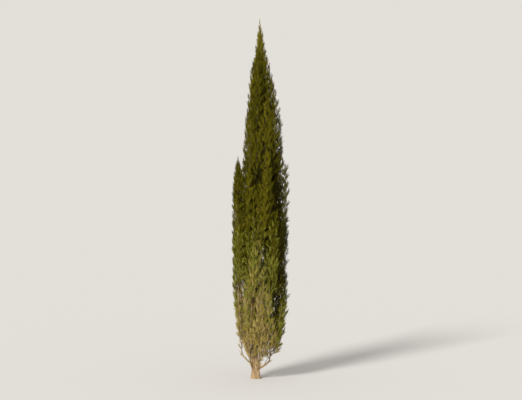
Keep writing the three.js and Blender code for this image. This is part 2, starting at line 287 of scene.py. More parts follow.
@dataclass(frozen=True)
class Spire:
    """One of the two spires of the crown: its outline as rows of height, left edge and right edge, how
    deep it is beside its width, and its stem."""

    outline: tuple[Triple, ...]
    depth: float
    stem: MainStem | SecondStem

    def section(self, heights: float | Array) -> tuple[float | Array, float | Array]:
        """Cuts the spire level.

        Args:
            heights: the heights to cut at.

        Returns:
            The middle and the half-width of the spire at each.
        """
        rows = np.array(self.outline)
        left = np.interp(heights, rows[:, 0], rows[:, 1])
        right = np.interp(heights, rows[:, 0], rows[:, 2])
        return (left + right) / 2, (right - left) / 2

    def way_to_edge(self, point: Array, direction: Array) -> float:
        """Measures how far it is from a point to the spire's edge.

        Args:
            point: where the way starts.
            direction: the level direction of the way.

        Returns:
            The distance, or 0 from outside the spire.
        """
        middle, half = self.section(point[2])
        start = np.array([point[0] - middle, point[1] / self.depth])
        step = np.array([direction[0], direction[1] / self.depth])
        a, b, c = step @ step, start @ step, start @ start - half * half
        return 0.0 if c > 0 else (-b + math.sqrt(b * b - a * c)) / a

    def inset(self, points: Array) -> Array:
        """Gives how far inside the spire's edge each point lies, below 0 outside it."""
        middle, half = self.section(points[:, 2])
        return half - np.hypot(points[:, 0] - middle, points[:, 1] / self.depth)


@dataclass(frozen=True)
class Habit:
    """How a mass is clothed: lengths in metres, angles in degrees, the rest counts and shares.

    The crowding is the number of shoots for each square metre of the mass's section. Shoots rise from
    its leader. Starts, ends, the swing outwards and the thin foot are shares of the leader, and the
    bare part is a share of the shoot."""

    crowding: float = 90.0
    fewest: int = 9
    start: Pair = (0.0, 0.24)
    end: Pair = (0.55, 0.94)
    reach: Pair = (0.35, 1.0)
    thin_foot: float = 0.0
    shoot_radius: float = 0.0045
    shoot_tip: float = 0.0018
    bare: float = 0.08
    swing: float = 0.17
    twig_step: float = 0.074
    twig_length: float = 0.115
    twig_spread: float = 24.0
    twig_radius: float = 0.0020
    sprays: int = 5
    spray_length: float = 0.125
    spray_spread: float = 28.0


class Growth(Enum):
    """How thickly a mass is clothed: open, dense above a thin foot, or dense all over."""

    OPEN = Habit(
        crowding=165.0, fewest=14, start=(0.0, 0.26), end=(0.30, 0.97), reach=(0.45, 1.0),
        shoot_radius=0.0075, shoot_tip=0.0025, bare=0.02, swing=0.065, twig_step=0.080,
        twig_length=0.120, twig_spread=26.0, twig_radius=0.0028, spray_length=0.120, spray_spread=32.0,
    )
    FRINGED = Habit(thin_foot=0.30)
    DENSE = Habit()


@dataclass(frozen=True)
class Tier:
    """A ring of masses: the heights of their feet and tips, how far out the feet stand, as a share of
    the way from beside the stem to the edge, and the bearings of the first and last in degrees."""

    name: str
    foot: float
    tip: float
    reach: float
    count: int
    first: float
    last: float
    growth: Growth


@dataclass(frozen=True)
class Mass:
    """One mass of foliage, with its axis from foot to tip.

    Distances between masses and between shoots are taken after a stretch that makes heights count less
    than widths."""

    STRETCH = np.array([1.0, 1.0, 0.2])

    name: str
    spire: Spire
    bearing: float
    foot: Array
    tip: Array
    growth: Growth
    number: int
    round_stem: bool = False

    @property
    def out(self) -> Array:
        """Gives the level direction from the stem to the mass."""
        return level(self.bearing)

    @property
    def axis(self) -> Array:
        """Gives the direction from the foot to the tip."""
        return unit(self.tip - self.foot)

    def points(self, shares: Array) -> Array:
        """Gives the points at shares of the way up the axis, one a row."""
        return self.foot + (self.tip - self.foot) * shares[:, None]


@dataclass(frozen=True)
class Crown:
    """The crown's form: its outline, its tiers of masses and the boughs that carry them.

    A depth is how deep a spire is beside its width. A bough leaves its stem a drop below its mass's
    foot, but not below a share of the foot's height. It spreads, lifts and turns up into its mass by
    shares of its rise, and its thickness is a share of its stem's."""

    main: MainStem = MainStem()
    second: SecondStem = SecondStem()
    main_outline: tuple[Triple, ...] = (
        (0.300, -0.170, 0.420),
        (0.700, -0.330, 0.600),
        (1.700, -0.350, 0.750),
        (2.800, -0.360, 0.785),
        (4.200, -0.350, 0.785),
        (5.200, -0.290, 0.700),
        (6.200, -0.215, 0.520),
        (6.900, -0.125, 0.330),
        (7.450, -0.010, 0.210),
        (8.000, 0.076, 0.084),
    )
    left_outline: tuple[Triple, ...] = (
        (0.450, -0.410, -0.190),
        (1.100, -0.460, -0.160),
        (2.200, -0.540, -0.150),
        (4.200, -0.540, -0.160),
        (4.700, -0.505, -0.300),
        (4.950, -0.402, -0.398),
    )
    main_tiers: tuple[Tier, ...] = (
        Tier("low", 0.360, 2.600, 0.55, 5, -130, 130, Growth.OPEN),
        Tier("waist", 1.600, 3.950, 0.42, 5, -100, 150, Growth.FRINGED),
        Tier("middle", 2.700, 5.250, 0.34, 5, -132, 120, Growth.DENSE),
        Tier("shoulder", 3.900, 6.300, 0.28, 4, -150, 110, Growth.DENSE),
        Tier("upper", 5.100, 7.200, 0.25, 3, -110, 130, Growth.DENSE),
    )
    left_tiers: tuple[Tier, ...] = (
        Tier("left_low", 0.700, 2.600, 0.30, 1, 180, 180, Growth.OPEN),
        Tier("left_middle", 1.900, 4.050, 0.30, 2, 110, 250, Growth.DENSE),
    )
    main_depth: float = 1.0
    left_depth: float = 1.7
    top_foot: float = 5.750
    left_tip: float = 4.940
    height_jitter: float = 0.120
    tip_reach: float = 0.74
    beside_stem: float = 0.035
    bough_drop: float = 0.560
    lowest_bough: float = 0.45
    bough_spread: float = 0.3
    bough_lift: float = 0.2
    bough_upturn: float = 0.45
    bough_share: float = 0.36
    thinnest_bough: float = 0.012
    bough_taper: float = 0.48
    thinnest_end: float = 0.0085

    def place(self, spire: Spire, bearing: float, height: float, reach: float) -> Array:
        """Finds a place between a stem and the crown's edge.

        Args:
            spire: the spire that it lies in.
            bearing: its bearing from the stem, in radians.
            height: its height.
            reach: how far out it lies, as a share of the way from beside the stem to the edge.

        Returns:
            The point.
        """
        centre = spire.stem.centre(height)
        nearest = spire.stem.radius_at(height) + self.beside_stem
        edge = spire.way_to_edge(centre, level(bearing))
        return centre + level(bearing) * max(nearest, mix(nearest, edge, reach))

    def mass_on_stem(self, spire: Spire, tier: Tier, index: int, number: int) -> Mass:
        """Places one mass of a tier.

        Args:
            spire: the spire that it belongs to.
            tier: its tier.
            index: which of the tier's masses it is.
            number: which of all the masses it is.

        Returns:
            The mass.
        """
        random = Seeded(number + 1)
        share = index / (tier.count - 1) if tier.count > 1 else 0.5
        bearing = math.radians(mix(tier.first, tier.last, share))
        foot_height = tier.foot + self.height_jitter * random.between(-1, 1)
        tip_height = tier.tip + self.height_jitter * random.between(-1, 1)
        foot = self.place(spire, bearing, foot_height, tier.reach)
        tip = self.place(spire, bearing, tip_height, self.tip_reach)
        return Mass(f"{tier.name}_{index + 1}", spire, bearing, foot, tip, tier.growth, number)

    def masses(self) -> list[Mass]:
        """Places all the masses.

        Returns:
            The masses, those round the ends of the two stems last.
        """
        main = Spire(self.main_outline, self.main_depth, self.main)
        left = Spire(self.left_outline, self.left_depth, self.second)
        found: list[Mass] = []
        for spire, tiers in ((main, self.main_tiers), (left, self.left_tiers)):
            for tier in tiers:
                for index in range(tier.count):
                    found.append(self.mass_on_stem(spire, tier, index, len(found)))
        left_end = np.array([left.section(self.left_tip)[0], 0.0, self.left_tip])
        ends = (
            ("top", main, self.main.centre(self.top_foot), self.main.centre(self.main.tree_height)),
            ("left_top", left, np.array(self.second.top), left_end),
        )
        for name, spire, foot, tip in ends:
            found.append(Mass(name, spire, 0.0, foot, tip, Growth.DENSE, len(found), True))
        return found

    def bough(self, mass: Mass) -> Array:
        """Draws the bough that carries a mass.

        Args:
            mass: the mass.

        Returns:
            The four control points of the bough's line, one a row.
        """
        stem = mass.spire.stem
        start = stem.centre(max(mass.foot[2] - self.bough_drop, self.lowest_bough * mass.foot[2]))
        rise = mass.foot[2] - start[2]
        return np.array([
            start,
            start + mass.out * self.bough_spread * rise + UP * self.bough_lift * rise,
            mass.foot - mass.axis * self.bough_upturn * rise,
            mass.foot,
        ])

    def bough_radii(self, mass: Mass) -> Pair:
        """Measures the bough that carries a mass.

        Args:
            mass: the mass.

        Returns:
            The bough's radius where it leaves its stem, and where it meets its mass.
        """
        height = self.bough(mass)[0][2]
        thick = max(self.bough_share * mass.spire.stem.radius_at(height), self.thinnest_bough)
        return thick, max(self.bough_taper * thick, self.thinnest_end)

    def leader_radius(self, mass: Mass) -> float:
        """Gives the radius with which a mass's leader grows on from its bough or stem."""
        stem = mass.spire.stem
        return stem.radius_at(stem.end_height) if mass.round_stem else self.bough_radii(mass)[1]


# Node trees, attributes and pieces


class Graph:
    """A node tree that is being built, with short ways to add nodes and join them.

    A node that can work on several kinds of value has sockets of the same name for each kind, so those
    for random numbers and for mixed colours go by their places."""

    RANDOM_LOW, RANDOM_HIGH, RANDOM_NUMBER = 2, 3, 1
    MIX_LOW, MIX_HIGH, MIX_COLOUR = 6, 7, 2

    def __init__(self, tree: NodeTree) -> None:
        """Takes the tree to build in."""
        self.tree = tree

    def feed(self, node: bpy.types.Node, inputs: Inputs) -> None:
        """Feeds a node's inputs.

        Args:
            node: the node.
            inputs: by name or number, the socket or list of sockets that feeds an input, or its value.
        """
        for name, value in inputs.items():
            for one in value if isinstance(value, list) else [value]:
                if isinstance(one, Socket):
                    self.tree.links.new(one, node.inputs[name])
                else:
                    node.inputs[name].default_value = one

    def node(self, kind: str, inputs: Inputs | None = None, **settings: object) -> bpy.types.Node:
        """Adds a node.

        Args:
            kind: the node's type name.
            inputs: what feeds its inputs, as for feed().
            **settings: the node's own properties.

        Returns:
            The new node.
        """
        made = self.tree.nodes.new(kind)
        for name, value in settings.items():
            setattr(made, name, value)
        self.feed(made, inputs or {})
        return made

    def made(self, kind: str, inputs: Inputs | None = None, **settings: object) -> Socket:
        """Adds a node, as node() does, and gives its first output."""
        return self.node(kind, inputs, **settings).outputs[0]

    def math(self, operation: str, *values: object) -> Socket:
        """Adds a Math node and gives its result."""
        return self.made("ShaderNodeMath", dict(enumerate(values)), operation=operation)

    def vector(self, operation: str, *values: object) -> Socket:
        """Adds a Vector Math node and gives its result."""
        return self.made("ShaderNodeVectorMath", dict(enumerate(values)), operation=operation)

    def xyz(self, x: object = 0.0, y: object = 0.0, z: object = 0.0) -> Socket:
        """Adds a Combine XYZ node and gives its vector."""
        return self.made("ShaderNodeCombineXYZ", {0: x, 1: y, 2: z})

    def index(self) -> Socket:
        """Adds an Index node and gives the index."""
        return self.made("GeometryNodeInputIndex")

    def named(self, name: str, kind: str = "FLOAT") -> Socket:
        """Adds a Named Attribute node and gives the attribute."""
        made = self.node("GeometryNodeInputNamedAttribute", {"Name": name}, data_type=kind)
        return made.outputs["Attribute"]

    def random(self, low: float, high: float, seed: Socket) -> Socket:
        """Adds a Random Value node and gives its number."""
        inputs = {self.RANDOM_LOW: low, self.RANDOM_HIGH: high, "Seed": seed}
        return self.node("FunctionNodeRandomValue", inputs, data_type="FLOAT").outputs[self.RANDOM_NUMBER]

    def between(self, value: Socket, low: float, high: float) -> Socket:
        """Adds a Map Range node and gives where a value lies between two others, from 0 to 1."""
        return self.made("ShaderNodeMapRange", {"Value": value, "From Min": low, "From Max": high})

    def colours(self, share: Socket, low: object, high: object) -> Socket:
        """Adds a Mix node and gives the colour at a share of the way from one to the other."""
        inputs = {"Factor": share, self.MIX_LOW: low, self.MIX_HIGH: high}
        return self.node("ShaderNodeMix", inputs, data_type="RGBA").outputs[self.MIX_COLOUR]


class Group(Graph):
    """A node group with named sockets: what it is given, and what it hands on."""

    SOCKETS = {int: "Int", float: "Float"}

    def __init__(self, name: str, kind: str, inputs: dict[str, int | float | str],
                 outputs: dict[str, str]) -> None:
        """Makes the group with its sockets.

        Args:
            name: the group's name.
            kind: GeometryNodeTree or ShaderNodeTree.
            inputs: for each input, the number that it starts with, or its socket's type.
            outputs: for each output, its socket's type.
        """
        super().__init__(bpy.data.node_groups.new(name, kind))
        for label, value in inputs.items():
            socket = self.add_socket(label, "INPUT", self.SOCKETS.get(type(value), value))
            if type(value) in self.SOCKETS:
                socket.default_value = value
        for label, socket_type in outputs.items():
            self.add_socket(label, "OUTPUT", socket_type)
        self.given = self.node("NodeGroupInput").outputs
        self.result = self.node("NodeGroupOutput").inputs

    def add_socket(self, label: str, side: str, kind: str) -> bpy.types.NodeTreeInterfaceSocket:
        """Adds a socket on the INPUT or OUTPUT side of the group."""
        return self.tree.interface.new_socket(label, in_out=side, socket_type=f"NodeSocket{kind}")

    def hand_on(self, name: str, socket: Socket) -> None:
        """Joins a socket to one of the group's outputs."""
        self.tree.links.new(socket, self.result[name])


class MeshGroup(Group):
    """A geometry node group that makes the mesh of a piece out of points, lines or a plain skin."""

    def __init__(self, name: str, inputs: dict[str, int | float]) -> None:
        """Makes the group with a geometry and a finish round its own inputs."""
        super().__init__(name, "GeometryNodeTree", {"Geometry": "Geometry", **inputs, "Finish": "Material"},
                         {"Geometry": "Geometry"})

    def end(self, geometry: Socket, *spent: str) -> NodeTree:
        """Ends the tree with real geometry that has the finish.

        Args:
            geometry: what the tree has made.
            *spent: the attributes that are no longer needed.

        Returns:
            The tree.
        """
        for name in spent:
            geometry = self.made("GeometryNodeRemoveAttribute", {"Geometry": geometry, "Name": name})
        real = self.made("GeometryNodeRealizeInstances", {"Geometry": geometry})
        dressed = self.made("GeometryNodeSetMaterial", {"Geometry": real, "Material": self.given["Finish"]})
        self.hand_on("Geometry", dressed)
        return self.tree


def set_attribute(mesh: bpy.types.Mesh, name: str, values: Array) -> None:
    """Stores a number or a vector for each point of a mesh.

    Args:
        mesh: the mesh.
        name: the attribute's name.
        values: the numbers, or the vectors one a row, in the order of the points.
    """
    kind, key = ("FLOAT_VECTOR", "vector") if values.ndim == 2 else ("FLOAT", "value")
    made = mesh.attributes.new(name, kind, "POINT")
    made.data.foreach_set(key, np.asarray(values, np.float32).ravel())


def add_object(name: str, data: bpy.types.ID) -> bpy.types.Object:
    """Adds an object to the scene.

    Args:
        name: its name.
        data: its mesh, light or camera.

    Returns:
        The object.
    """
    made = bpy.data.objects.new(name, data)
    bpy.context.scene.collection.objects.link(made)
    return made


def make_piece(name: str, mesh: bpy.types.Mesh, tree: NodeTree,
               values: dict[str, object]) -> bpy.types.Object:
    """Puts a mesh through a geometry node tree and makes the result an object with a plain mesh.

    Args:
        name: the object's name.
        mesh: what the tree starts from.
        tree: the node tree.
        values: the tree's inputs, by name.

    Returns:
        The object, with no modifier.
    """
    piece = add_object(name, mesh)
    modifier = piece.modifiers.new("grow", "NODES")
    modifier.node_group = tree
    for item in tree.interface.items_tree:
        if item.name in values:
            modifier[item.identifier] = values[item.name]
    graph = bpy.context.evaluated_depsgraph_get()
    result = bpy.data.meshes.new_from_object(piece.evaluated_get(graph), depsgraph=graph)
    piece.modifiers.clear()
    piece.data = result
    result.name = name
    bpy.data.meshes.remove(mesh)
    return piece


def triangles(piece: bpy.types.Object) -> int:
    """Gives how many triangles a piece has once its faces are split."""
    return len(piece.data.loops) - 2 * len(piece.data.polygons)


# The shapes of sprays, twigs and bark


@dataclass(frozen=True)
class SprayForm:
    """A spray of scale foliage: slim cords of scale leaves, set left and right on a stalk.

    Sizes are shares of the spray's length, angles are in degrees, and scatters are the least and the
    most that a random factor may be. A cord is a thin rod of four faces, with an edge across its root
    and another, turned a quarter round, across its tip."""

    CORNERS = ((-0.5, 0.0, 0.0), (0.5, 0.0, 0.0), (0.0, -0.5, 1.0), (0.0, 0.5, 1.0))
    TWIST_SEED = 7.0
    LENGTH_SEED = 3.0

    cords: int = 9
    first: float = 0.02
    last: float = 0.86
    cord_length: float = 0.42
    length_scatter: Pair = (0.8, 1.15)
    shortening: float = 0.50
    cord_width: float = 0.066
    cord_thickness: float = 0.055
    stalk_width: float = 0.05
    low_angle: float = 36.0
    high_angle: float = 20.0
    angle_scatter: Pair = (0.75, 1.25)
    twist: float = 50.0

    def values(self) -> dict[str, int | float]:
        """Gives the inputs of the sprays' node trees that make sprays of this form."""
        return {"Cords": self.cords, "Cord Length": self.cord_length, "Cord Width": self.cord_width,
                "Cord Thickness": self.cord_thickness}

    def cord(self, graph: Graph) -> Socket:
        """Adds the nodes of one cord.

        Args:
            graph: the tree to add them to.

        Returns:
            The cord's mesh, one unit long, wide and thick.
        """
        line = graph.made("GeometryNodeMeshLine", {"Count": len(self.CORNERS)})
        choice = graph.node("GeometryNodeIndexSwitch", {"Index": graph.index()}, data_type="VECTOR")
        while len(choice.index_switch_items) < len(self.CORNERS):
            choice.index_switch_items.new()
        for number, corner in enumerate(self.CORNERS, 1):
            choice.inputs[number].default_value = corner
        placed = graph.made("GeometryNodeSetPosition", {"Geometry": line, "Position": choice.outputs[0]})
        return graph.made("GeometryNodeConvexHull", {"Geometry": placed})

    def tree(self) -> NodeTree:
        """Builds the node tree that makes one spray, one unit tall, from a seed.

        Returns:
            The tree.
        """
        graph = Group("spray", "GeometryNodeTree", {"Seed": 1, **self.values()}, {"Geometry": "Geometry"})
        given = graph.given
        cord, index = self.cord(graph), graph.index()
        steps = graph.math("MAXIMUM", graph.math("SUBTRACT", given["Cords"], 1.0), 1.0)
        share = graph.math("DIVIDE", index, steps)
        rise = graph.xyz(z=graph.math("DIVIDE", self.last - self.first, steps))
        line = graph.made("GeometryNodeMeshLine", {"Count": given["Cords"], "Offset": rise,
                                                   "Start Location": (0, 0, self.first)})
        side = graph.math("SUBTRACT", graph.math("MULTIPLY", graph.math("MODULO", index, 2.0), 2.0), 1.0)
        angle = graph.math("MULTIPLY_ADD", share, math.radians(self.high_angle - self.low_angle),
                           math.radians(self.low_angle))
        lean = graph.math("MULTIPLY", graph.math("MULTIPLY", angle, side),
                          graph.random(*self.angle_scatter, given["Seed"]))
        twist = graph.random(-math.radians(self.twist), math.radians(self.twist),
                             graph.math("ADD", given["Seed"], self.TWIST_SEED))
        turn = graph.made("FunctionNodeEulerToRotation", {"Euler": graph.xyz(0.0, lean, twist)})
        scatter = graph.random(*self.length_scatter, graph.math("ADD", given["Seed"], self.LENGTH_SEED))
        length = graph.math("MULTIPLY", graph.math("MULTIPLY_ADD", share, -self.shortening, 1.0),
                            graph.math("MULTIPLY", given["Cord Length"], scatter))
        size = graph.xyz(given["Cord Width"], given["Cord Thickness"], length)
        cords = graph.made("GeometryNodeInstanceOnPoints",
                           {"Points": line, "Instance": cord, "Rotation": turn, "Scale": size})
        stalk = graph.made("GeometryNodeTransform",
                           {"Geometry": cord, "Scale": (self.stalk_width, self.stalk_width, 1.0)})
        joined = graph.made("GeometryNodeJoinGeometry", {"Geometry": [cords, stalk]})
        real = graph.made("GeometryNodeRealizeInstances", {"Geometry": joined})
        graph.hand_on("Geometry", real)
        return graph.tree


# The form of the shade tint's sprays, which are painted shade: fewer, wider cords.
SHADE_SPRAY = SprayForm(cords=6, cord_length=0.48, cord_width=0.11)


@dataclass(frozen=True)
class FoliageForm:
    """How sprays are set on the twigs: each point of the mesh holds one spray, with its direction,
    the way it faces, its size and which of a few shapes it has."""

    spray: SprayForm = SprayForm()
    shapes: int = 4
    seed: int = 11
    seed_step: int = 17

    def tree(self) -> NodeTree:
        """Builds the node tree that sets a spray on every point.

        Returns:
            The tree.
        """
        graph = MeshGroup("sprays_on_twigs", {"Seed": self.seed, **self.spray.values()})
        given = graph.given
        spray = self.spray.tree()
        handed = {name: given[name] for name in self.spray.values()}
        shapes = []
        for number in range(self.shapes):
            seed = graph.math("ADD", given["Seed"], float(self.seed_step * number))
            shape = graph.node("GeometryNodeGroup", node_tree=spray)
            graph.feed(shape, {"Seed": seed, **handed})
            shapes.append(shape.outputs[0])
        choice = graph.made("GeometryNodeGeometryToInstance", {"Geometry": shapes})
        upright = graph.made("FunctionNodeAlignRotationToVector",
                             {"Vector": graph.named("along", "FLOAT_VECTOR")}, axis="Z")
        faced = graph.made("FunctionNodeAlignRotationToVector",
                           {"Rotation": upright, "Vector": graph.named("facing", "FLOAT_VECTOR")},
                           axis="Y", pivot_axis="Z")
        placed = graph.made("GeometryNodeInstanceOnPoints",
                            {"Points": given["Geometry"], "Instance": choice, "Pick Instance": True,
                             "Instance Index": graph.index(), "Rotation": faced,
                             "Scale": graph.named("size")})
        return graph.end(placed, "along", "facing", "size")


@dataclass(frozen=True)
class TwigForm:
    """How twigs follow their lines: tapering tubes of a few sides."""

    sides: int = 4

    def tree(self) -> NodeTree:
        """Builds the node tree that runs a tapering tube along every line of a mesh.

        Returns:
            The tree.
        """
        graph = MeshGroup("twigs_on_lines", {"Sides": self.sides})
        given = graph.given
        lines = graph.made("GeometryNodeMeshToCurve", {"Mesh": given["Geometry"]})
        ring = graph.made("GeometryNodeCurvePrimitiveCircle",
                          {"Resolution": given["Sides"], "Radius": 1.0})
        tubes = graph.made("GeometryNodeCurveToMesh",
                           {"Curve": lines, "Profile Curve": ring, "Scale": graph.named("radius"),
                            "Fill Caps": True})
        return graph.end(tubes, "radius")


@dataclass(frozen=True)
class BarkForm:
    """The bark's relief: long fibrous strips with furrows between them, in metres.

    A furrow runs where a stretched noise crosses its middle, and is as wide as the noise stays near it.
    The depth is a share of the limb's radius, and the middle is the height that keeps its place."""

    NOISE = {"Scale": 0.5, "Detail": 2.0, "Roughness": 0.5, "Distortion": 0.25}
    SEED_STEP = 3.7

    strip_width: float = 0.012
    strip_length: float = 0.42
    depth: float = 0.09
    deepest: float = 0.005
    furrow: float = 0.12
    middle: float = 0.7
    seed: int = 5

    def tree(self) -> NodeTree:
        """Builds the node tree that raises strips on a limb's skin.

        Returns:
            The tree.
        """
        graph = MeshGroup("bark_relief", {
            "Strip Width": self.strip_width, "Strip Length": self.strip_length,
            "Depth": self.depth, "Deepest": self.deepest, "Seed": self.seed,
        })
        given = graph.given
        across = graph.math("DIVIDE", 1.0, given["Strip Width"])
        upward = graph.math("DIVIDE", 1.0, given["Strip Length"])
        stretched = graph.vector("MULTIPLY", graph.named("fibre", "FLOAT_VECTOR"),
                                 graph.xyz(across, across, upward))
        noise = graph.node("ShaderNodeTexNoise",
                           {"Vector": stretched, "W": graph.math("MULTIPLY", given["Seed"], self.SEED_STEP),
                            **self.NOISE}, noise_dimensions="4D").outputs["Fac"]
        valley = graph.math("ABSOLUTE", graph.math("SUBTRACT", noise, 0.5))
        relief = graph.between(valley, 0.0, self.furrow)
        depth = graph.math("MINIMUM", graph.math("MULTIPLY", graph.named("radius"), given["Depth"]),
                           given["Deepest"])
        height = graph.math("MULTIPLY", graph.math("SUBTRACT", relief, self.middle), depth)
        normal = graph.made("GeometryNodeInputNormal")
        level_normal = graph.vector("MULTIPLY", normal, (1.0, 1.0, 0.0))
        offset = graph.made("ShaderNodeVectorMath", {"Vector": level_normal, "Scale": height},
                            operation="SCALE")
        kept = graph.made("GeometryNodeStoreNamedAttribute",
                          {"Geometry": given["Geometry"], "Name": "relief", "Value": relief},
                          data_type="FLOAT", domain="POINT")
        moved = graph.made("GeometryNodeSetPosition", {"Geometry": kept, "Offset": offset})
        return graph.end(moved, "radius")


# Finishes


@dataclass(frozen=True)
class Mottle:
    """The effect that every finish of the tree has: a colour that varies in fine grains.

    The grain and the roughness hold where a finish gives none. The contrast is the part of the noise
    that goes from dark to light. Speckles are so many times finer than the grains, and darken them by
    their depth."""

    grain: float = 90.0
    roughness: float = 0.7
    detail: float = 3.0
    contrast: Pair = (0.35, 0.65)
    speckles: float = 5.0
    speckle_depth: float = 0.4
    roughness_swing: float = 0.2

    def group(self) -> NodeTree:
        """Builds the shader group, which gives a colour, a roughness and the speckles as a height.

        Returns:
            The group.
        """
        graph = Group(
            "fine_mottle", "ShaderNodeTree",
            {"Vector": "Vector", "Light": "Color", "Dark": "Color", "Grain": self.grain,
             "Roughness": self.roughness},
            {"Color": "Color", "Roughness": "Float", "Height": "Float"},
        )
        given = graph.given
        coarse = graph.node("ShaderNodeTexNoise", {"Vector": given["Vector"], "Scale": given["Grain"],
                                                   "Detail": self.detail}).outputs["Fac"]
        scale = graph.math("MULTIPLY", given["Grain"], self.speckles)
        fine = graph.made("ShaderNodeTexVoronoi", {"Vector": given["Vector"], "Scale": scale})
        tone = graph.math("MULTIPLY", graph.between(coarse, *self.contrast),
                          graph.math("MULTIPLY_ADD", fine, -self.speckle_depth, 1.0))
        lowest = graph.math("SUBTRACT", given["Roughness"], self.roughness_swing / 2)
        graph.hand_on("Color", graph.colours(tone, given["Dark"], given["Light"]))
        graph.hand_on("Roughness", graph.math("MULTIPLY_ADD", coarse, self.roughness_swing, lowest))
        graph.hand_on("Height", fine)
        return graph.tree


@dataclass(frozen=True)
class Finish:
    """What the finishes share: two near colours in a fine grain, with a low bump."""

    name: str
    light: Triple
    dark_share: float
    grain: float
    roughness: float
    bump: float
    bump_depth: float
    shine: float

    def place(self, graph: Graph) -> Socket:
        """Gives the place that the grain goes by: where it is on the piece."""
        return graph.node("ShaderNodeTexCoord").outputs["Object"]

    def colour(self, graph: Graph, grained: Socket) -> Socket:
        """Gives the base colour: the grained colour as it is."""
        return grained

    def material(self, mottle: NodeTree) -> bpy.types.Material:
        """Makes the material.

        Args:
            mottle: the shader group that varies its colour.

        Returns:
            The material.
        """
        made = bpy.data.materials.new(self.name)
        made.use_nodes = True
        graph = Graph(made.node_tree)
        dark = [self.dark_share * part for part in self.light]
        grain = graph.node("ShaderNodeGroup", node_tree=mottle)
        graph.feed(grain, {"Vector": self.place(graph), "Light": (*self.light, 1.0), "Dark": (*dark, 1.0),
                           "Grain": self.grain, "Roughness": self.roughness})
        raised = graph.made("ShaderNodeBump", {"Strength": self.bump, "Distance": self.bump_depth,
                                               "Height": grain.outputs["Height"]})
        graph.feed(made.node_tree.nodes["Principled BSDF"], {
            "Base Color": self.colour(graph, grain.outputs["Color"]),
            "Roughness": grain.outputs["Roughness"],
            "Normal": raised,
            "Specular IOR Level": self.shine,
        })
        return made


@dataclass(frozen=True)
class LeafFinish(Finish):
    """The finish of one tint of sprays."""

    dark_share: float = 0.62
    grain: float = 60.0
    roughness: float = 0.82
    bump: float = 0.15
    bump_depth: float = 0.002
    shine: float = 0.04


@dataclass(frozen=True)
class TwigFinish(LeafFinish):
    """The finish of thin wood, with a finer grain."""

    grain: float = 120.0
    roughness: float = 0.85


@dataclass(frozen=True)
class BarkFinish(Finish):
    """The finish of stems and boughs: pale worn strips, darker furrows, fine fibres.

    The fibres are so many times longer than wide, as the last number of their stretch says, and worn
    is the part of the relief that goes from the furrow's colour to the strip's."""

    dark_share: float = 0.66
    grain: float = 260.0
    roughness: float = 0.9
    bump: float = 0.5
    bump_depth: float = 0.003
    shine: float = 0.2
    furrow: Triple = (0.210, 0.135, 0.068)
    stretch: Triple = (1.0, 1.0, 0.08)
    worn: Pair = (0.05, 0.7)

    def place(self, graph: Graph) -> Socket:
        """Gives the place that the grain goes by: where it is in the wood's fibres."""
        fibre = graph.node("ShaderNodeAttribute", attribute_name="fibre").outputs["Vector"]
        return graph.vector("MULTIPLY", fibre, self.stretch)

    def colour(self, graph: Graph, grained: Socket) -> Socket:
        """Gives the base colour: the furrows' colour low in the relief and the grained one on the strips."""
        relief = graph.node("ShaderNodeAttribute", attribute_name="relief").outputs["Fac"]
        return graph.colours(graph.between(relief, *self.worn), (*self.furrow, 1.0), grained)


class Tint(Enum):
    """The tints of foliage, from the painted shade of the crown's dark inside and shadowed right side to the
    dry straw of its foot.
    """

    # The shade tint is painted shade: a near-black green that stands in for the shadow inside the crown and
    # on its right side.
    SHADE = LeafFinish("foliage_shade", (0.055, 0.048, 0.006))
    # The deep tint is the darkest shoot tone, and also painted shade on the crown's right side.
    DEEP = LeafFinish("foliage_deep", (0.110, 0.101, 0.005))
    DARK_OLIVE = LeafFinish("foliage_dark_olive", (0.145, 0.132, 0.006))
    OLIVE = LeafFinish("foliage_olive", (0.190, 0.170, 0.009))
    FRESH = LeafFinish("foliage_fresh", (0.240, 0.212, 0.013))
    PALE = LeafFinish("foliage_pale_green", (0.370, 0.385, 0.060))
    DRY = LeafFinish("foliage_dry", (0.410, 0.345, 0.055))
    STRAW = LeafFinish("foliage_straw", (0.660, 0.510, 0.170))
    LEADER = LeafFinish("foliage_leader", (0.330, 0.280, 0.030))


TONES = (Tint.DEEP, Tint.DARK_OLIVE, Tint.OLIVE, Tint.FRESH)


